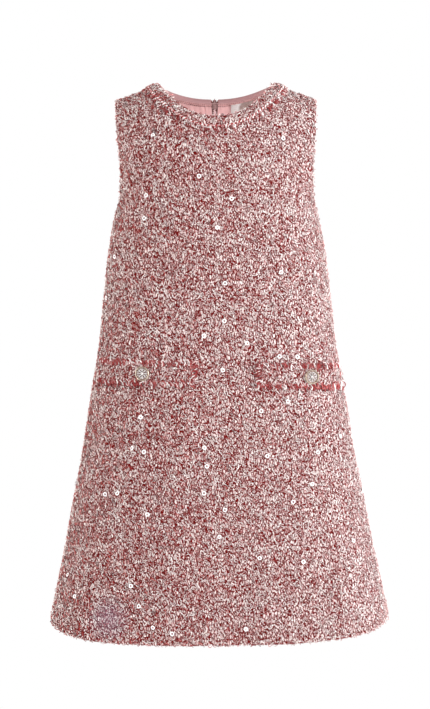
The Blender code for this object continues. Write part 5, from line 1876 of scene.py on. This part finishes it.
def make_coil_tree():
    """Turns of nylon laid across the line of the zip, from its two sides in turn."""
    group, given, out = new_growth("zip coil", {
        "Pitch": COIL_PITCH, "Half Width": COIL_HALF, "Thickness": COIL_THICK})
    spaced, other = along_line(group, given)
    size = vector(group, maths(group, "MULTIPLY", given["Half Width"], TURN_REACH),
                  given["Thickness"], maths(group, "MULTIPLY", given["Pitch"], TURN_OVERLAP))
    facing = node(group, "FunctionNodeAxesToRotation",
                  {"primary_axis": "X", "secondary_axis": "Z"}, in0=(1.0, 0.0, 0.0),
                  in1=spaced["Tangent"])
    side = maths(group, "MULTIPLY_ADD", other, 2.0, -1.0)
    beside = maths(group, "MULTIPLY", side, maths(group, "MULTIPLY", given["Half Width"], 0.5))
    shifted = moved(group, spaced[0], vector(group, beside, 0.0, 0.0))
    strung = node(group, "GeometryNodeInstanceOnPoints", in0=shifted,
                  Instance=bead(group, size), Rotation=facing.outputs[0])
    return grown(group, given, out, strung.outputs[0])


def softened(name, node_name, material, width):
    """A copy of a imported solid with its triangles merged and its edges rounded."""
    shape = bmesh.new()
    shape.from_mesh(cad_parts[node_name].data)
    bmesh.ops.remove_doubles(shape, verts=shape.verts, dist=SAME_POINT * MM)
    bmesh.ops.dissolve_limit(shape, angle_limit=FLAT_CORNER, verts=shape.verts,
                             edges=shape.edges)
    sharp = [edge for edge in shape.edges if edge.calc_face_angle(0.0) > SHARP_CORNER]
    bmesh.ops.bevel(shape, geom=sharp, offset=width * MM, segments=2, profile=0.6,
                    affect="EDGES", clamp_overlap=True)
    mesh = outward_mesh(shape, bpy.data.meshes.new(name))
    piece = put_in_scene(name, mesh, material, ZIP_SHARP_FROM)
    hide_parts(node_name)
    return piece


tape_weave = make_tape_weave()
coil_nylon = make_coil_nylon()
zip_metal = make_zip_metal()
centre_rows = np.arange(len(grids["back_left"]))
centre_heights = grids["back_left"][:, 0, 2]
centre_up = places["back_left"][:, 0, 1]


def zip_rows(bottom, from_neck, count):
    """Rows of a back from a height up to a distance down the cloth from its neck edge."""
    low = float(np.interp(bottom, centre_heights, centre_rows))
    high = float(np.interp(centre_up[-1] - from_neck, centre_up, centre_rows))
    return np.linspace(low, high, count)


for hand_name in HANDS:
    rows = zip_rows(ZIP_BOTTOM, TAPE_TOP, TAPE_UP)
    columns = columns_between(hand_name, rows, TAPE_FROM, TAPE_TO, TAPE_ACROSS)
    points, facing, place = inside_back(hand_name, rows, columns, TAPE_DEPTH)
    name = "zip_tape_" + hand_name
    tape = shell(name + "_cloth", points, -facing, TAPE, place, tape_weave, EDGE_ROLL)
    cloth_piece(tape, "zip_tape", name)
rows = zip_rows(CHAIN_BOTTOM, CHAIN_TOP, COIL_STEPS)
path, facing = [sample_grid(values["back_left"], rows, np.zeros((len(rows), 1)))[:, 0]
                * [0.0, 1.0, 1.0] for values in (grids, normals)]
path = path - unit(facing) * (TWEED + LAYER_GAP + COIL_THICK / MM / 2)
coil = grow("zip_coil", line_mesh("zip_coil", path), make_coil_tree(), Pitch=COIL_PITCH,
            Half_Width=COIL_HALF, Thickness=COIL_THICK, Material=coil_nylon)
cloth_piece(coil, "zip_tape", "zip_chain")
slider = softened("zip_slider_metal", "zip_slider", zip_metal, SLIDER_ROUNDING)
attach(slider, "dress")
pull = softened("zip_pull_metal", "zip_pull", zip_metal, PULL_ROUNDING)
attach(pull, "zip_pull")

# Sequins
# Small white ring sequins, pearly and slightly cupped, sewn through their holes at random all
# over the tweed.

SEQUINS = {"Most_per_Square_Metre": 300.0, "Least_Gap": 0.013, "Radius": 0.0024,
           "Hole": 0.0010, "Lift": 0.0027}
SEQUIN_TILT = 0.30
SEQUIN_TURN = 6.28
SEQUIN_FLATNESS = 0.35
# Sides round a sequin, and round the section of its ring
SEQUIN_SIDES = (14, 5)
SEQUIN_SEED = 61
# The rows of a panel that sequins lie on: not the first at the hem or the last at the neck
SEQUIN_ROWS = slice(2, -4)


def make_sequin_tree():
    """Ring sequins at random over a mesh, each tilted a little."""
    group, given, out = new_growth("ring sequins", {
        "Most per Square Metre": 300.0, "Least Gap": 0.01, "Seed": 1, "Radius": 0.0025,
        "Hole": 0.0006, "Lift": 0.002})
    wide = maths(group, "SUBTRACT", given["Radius"], given["Hole"])
    middle = maths(group, "MULTIPLY", maths(group, "ADD", given["Radius"], given["Hole"]), 0.5)
    around, through = SEQUIN_SIDES
    ring = tube(group, circle(group, middle, around), wide, through, capped=False)
    flat = node(group, "GeometryNodeTransform", in0=ring, Scale=(1.0, 1.0, SEQUIN_FLATNESS))
    scattered, lifted = scatter(group, given)
    tilt = node(group, "FunctionNodeRandomValue", {"data_type": "FLOAT_VECTOR"},
                in0=(-SEQUIN_TILT, -SEQUIN_TILT, 0.0), in1=(SEQUIN_TILT, SEQUIN_TILT, SEQUIN_TURN),
                Seed=given["Seed"])
    tilted = node(group, "FunctionNodeEulerToRotation", in0=tilt.outputs[0])
    sewn = node(group, "GeometryNodeInstanceOnPoints", in0=lifted, Instance=flat.outputs[0],
                Rotation=turned(group, scattered.outputs["Rotation"], tilted.outputs[0]))
    return grown(group, given, out, sewn.outputs[0])


def make_sequin_material():
    """Pearly white, with a faint drift between warm, green and blue whites."""
    material, tree, shader = new_material("sequin", 0.22, coat=0.6)
    paint(tree, shader, ramp(tree, noise(tree, object_place(tree), 140.0),
                             ((0.35, (0.95, 0.97, 0.96)), (0.5, (0.98, 0.96, 0.97)),
                              (0.65, (0.93, 0.95, 0.99)))))
    return material


sequin_tree = make_sequin_tree()
sequin = make_sequin_material()
for number, name in enumerate(grids):
    grow_over(name + "_sequins", grids[name][SEQUIN_ROWS], normals[name][SEQUIN_ROWS],
              places[name][SEQUIN_ROWS], tree=sequin_tree, Material=sequin,
              Seed=SEQUIN_SEED + number, **SEQUINS)

# Studio
# Pale floor far below, a white surround and soft lights, the stronger one from the right.

CAMERA_AZIMUTH = math.radians(-1.2)
CAMERA_ELEVATION = math.radians(5.3)
CAMERA_ROLL = math.radians(0.45)
CAMERA_DISTANCE = 2.4
FRAME_HIGH = 0.780
FRAME_PIXELS = (430, 709)
MIDDLE_PIXEL = (217.5, 354.5)
TARGET = Vector((0.0, 0.0, -0.2924))
SENSOR = 24.0
AIR_LIGHT = 0.46
FLOOR_RADIUS = 3.0
FLOOR_LEVEL = -1.49
WHITE = (1.0, 1.0, 1.0)
WARM = (1.0, 0.93, 0.88)
LIGHT_COLUMNS = ("name", "place", "size", "watts", "aim", "seen", "colour")
LIGHTS = (
    ("key", (2.1, -1.3, -0.1), (1.2, 1.6), 66.0, (0.0, 0.0, -0.4), True, WHITE),
    ("top", (0.3, -1.9, 1.0), (1.0, 0.8), 30.0, (0.0, 0.0, -0.45), True, WHITE),
    ("fill", (-2.2, -1.6, 0.5), (0.9, 1.2), 25.0, (0.0, 0.0, -0.3), True, WARM),
    ("back", (0.6, 2.2, 0.9), (1.6, 1.4), 30.0, (0.0, 0.0, -0.3), True, WHITE),
    ("left rim", (-1.9, 0.35, -0.2), (0.6, 1.6), 30.0, (0.0, 0.0, -0.35), True, WARM),
    ("neck", (0.0, -0.044, -0.004), (0.09, 0.02), 0.04, (0.0, 0.05, -0.022), False, WHITE),
    ("right rim", (1.9, 0.45, -0.2), (0.6, 1.6), 32.0, (0.0, 0.0, -0.35), True, WHITE),
)


def add_camera():
    data = bpy.data.cameras.new("camera")
    data.sensor_width = SENSOR
    data.lens = SENSOR * CAMERA_DISTANCE / FRAME_HIGH
    data.shift_x = (FRAME_PIXELS[0] / 2 - MIDDLE_PIXEL[0]) / FRAME_PIXELS[1]
    data.dof.use_dof = False
    camera = new_object("camera", data)
    away = Vector((math.sin(CAMERA_AZIMUTH) * math.cos(CAMERA_ELEVATION),
                   -math.cos(CAMERA_AZIMUTH) * math.cos(CAMERA_ELEVATION),
                   math.sin(CAMERA_ELEVATION)))
    level = away.to_track_quat("Z", "Y").to_matrix().to_4x4()
    camera.matrix_world = (Matrix.Translation(TARGET + away * CAMERA_DISTANCE) @ level
                           @ Matrix.Rotation(-CAMERA_ROLL, 4, "Z"))
    bpy.context.scene.camera = camera


def add_light(light):
    data = bpy.data.lights.new(light["name"], "AREA")
    data.shape = "RECTANGLE"
    data.size, data.size_y = light["size"]
    data.energy = light["watts"]
    data.color = light["colour"]
    lamp = new_object(light["name"], data)
    place = Vector(light["place"])
    turn = (Vector(light["aim"]) - place).to_track_quat("-Z", "Y").to_matrix().to_4x4()
    lamp.matrix_world = Matrix.Translation(place) @ turn
    lamp.visible_camera = light["seen"]


def add_world():
    world = bpy.data.worlds.new("surround")
    world.use_nodes = True
    tree = world.node_tree
    seen = node(tree, "ShaderNodeLightPath")
    strength = node(tree, "ShaderNodeMix", in0=seen.outputs["Is Camera Ray"], in2=AIR_LIGHT,
                    in3=1.0)
    shine = tree.nodes["Background"]
    shine.inputs["Color"].default_value = (1.0, 1.0, 1.0, 1.0)
    wire(tree, strength.outputs[0], shine.inputs["Strength"])
    bpy.context.scene.world = world
    bpy.context.scene.view_settings.view_transform = "Standard"


def add_floor():
    shape = bmesh.new()
    bmesh.ops.create_circle(shape, cap_ends=True, segments=96, radius=FLOOR_RADIUS)
    bmesh.ops.translate(shape, verts=shape.verts, vec=(0.0, 0.0, FLOOR_LEVEL))
    mesh = bpy.data.meshes.new("floor")
    shape.to_mesh(mesh)
    shape.free()
    material, _, shader = new_material("floor", 0.8)
    shader.inputs["Base Color"].default_value = (0.86, 0.86, 0.86, 1.0)
    put_in_scene("floor", mesh, material)


add_camera()
add_world()
add_floor()
for light in rows_of(LIGHT_COLUMNS, LIGHTS):
    add_light(light)
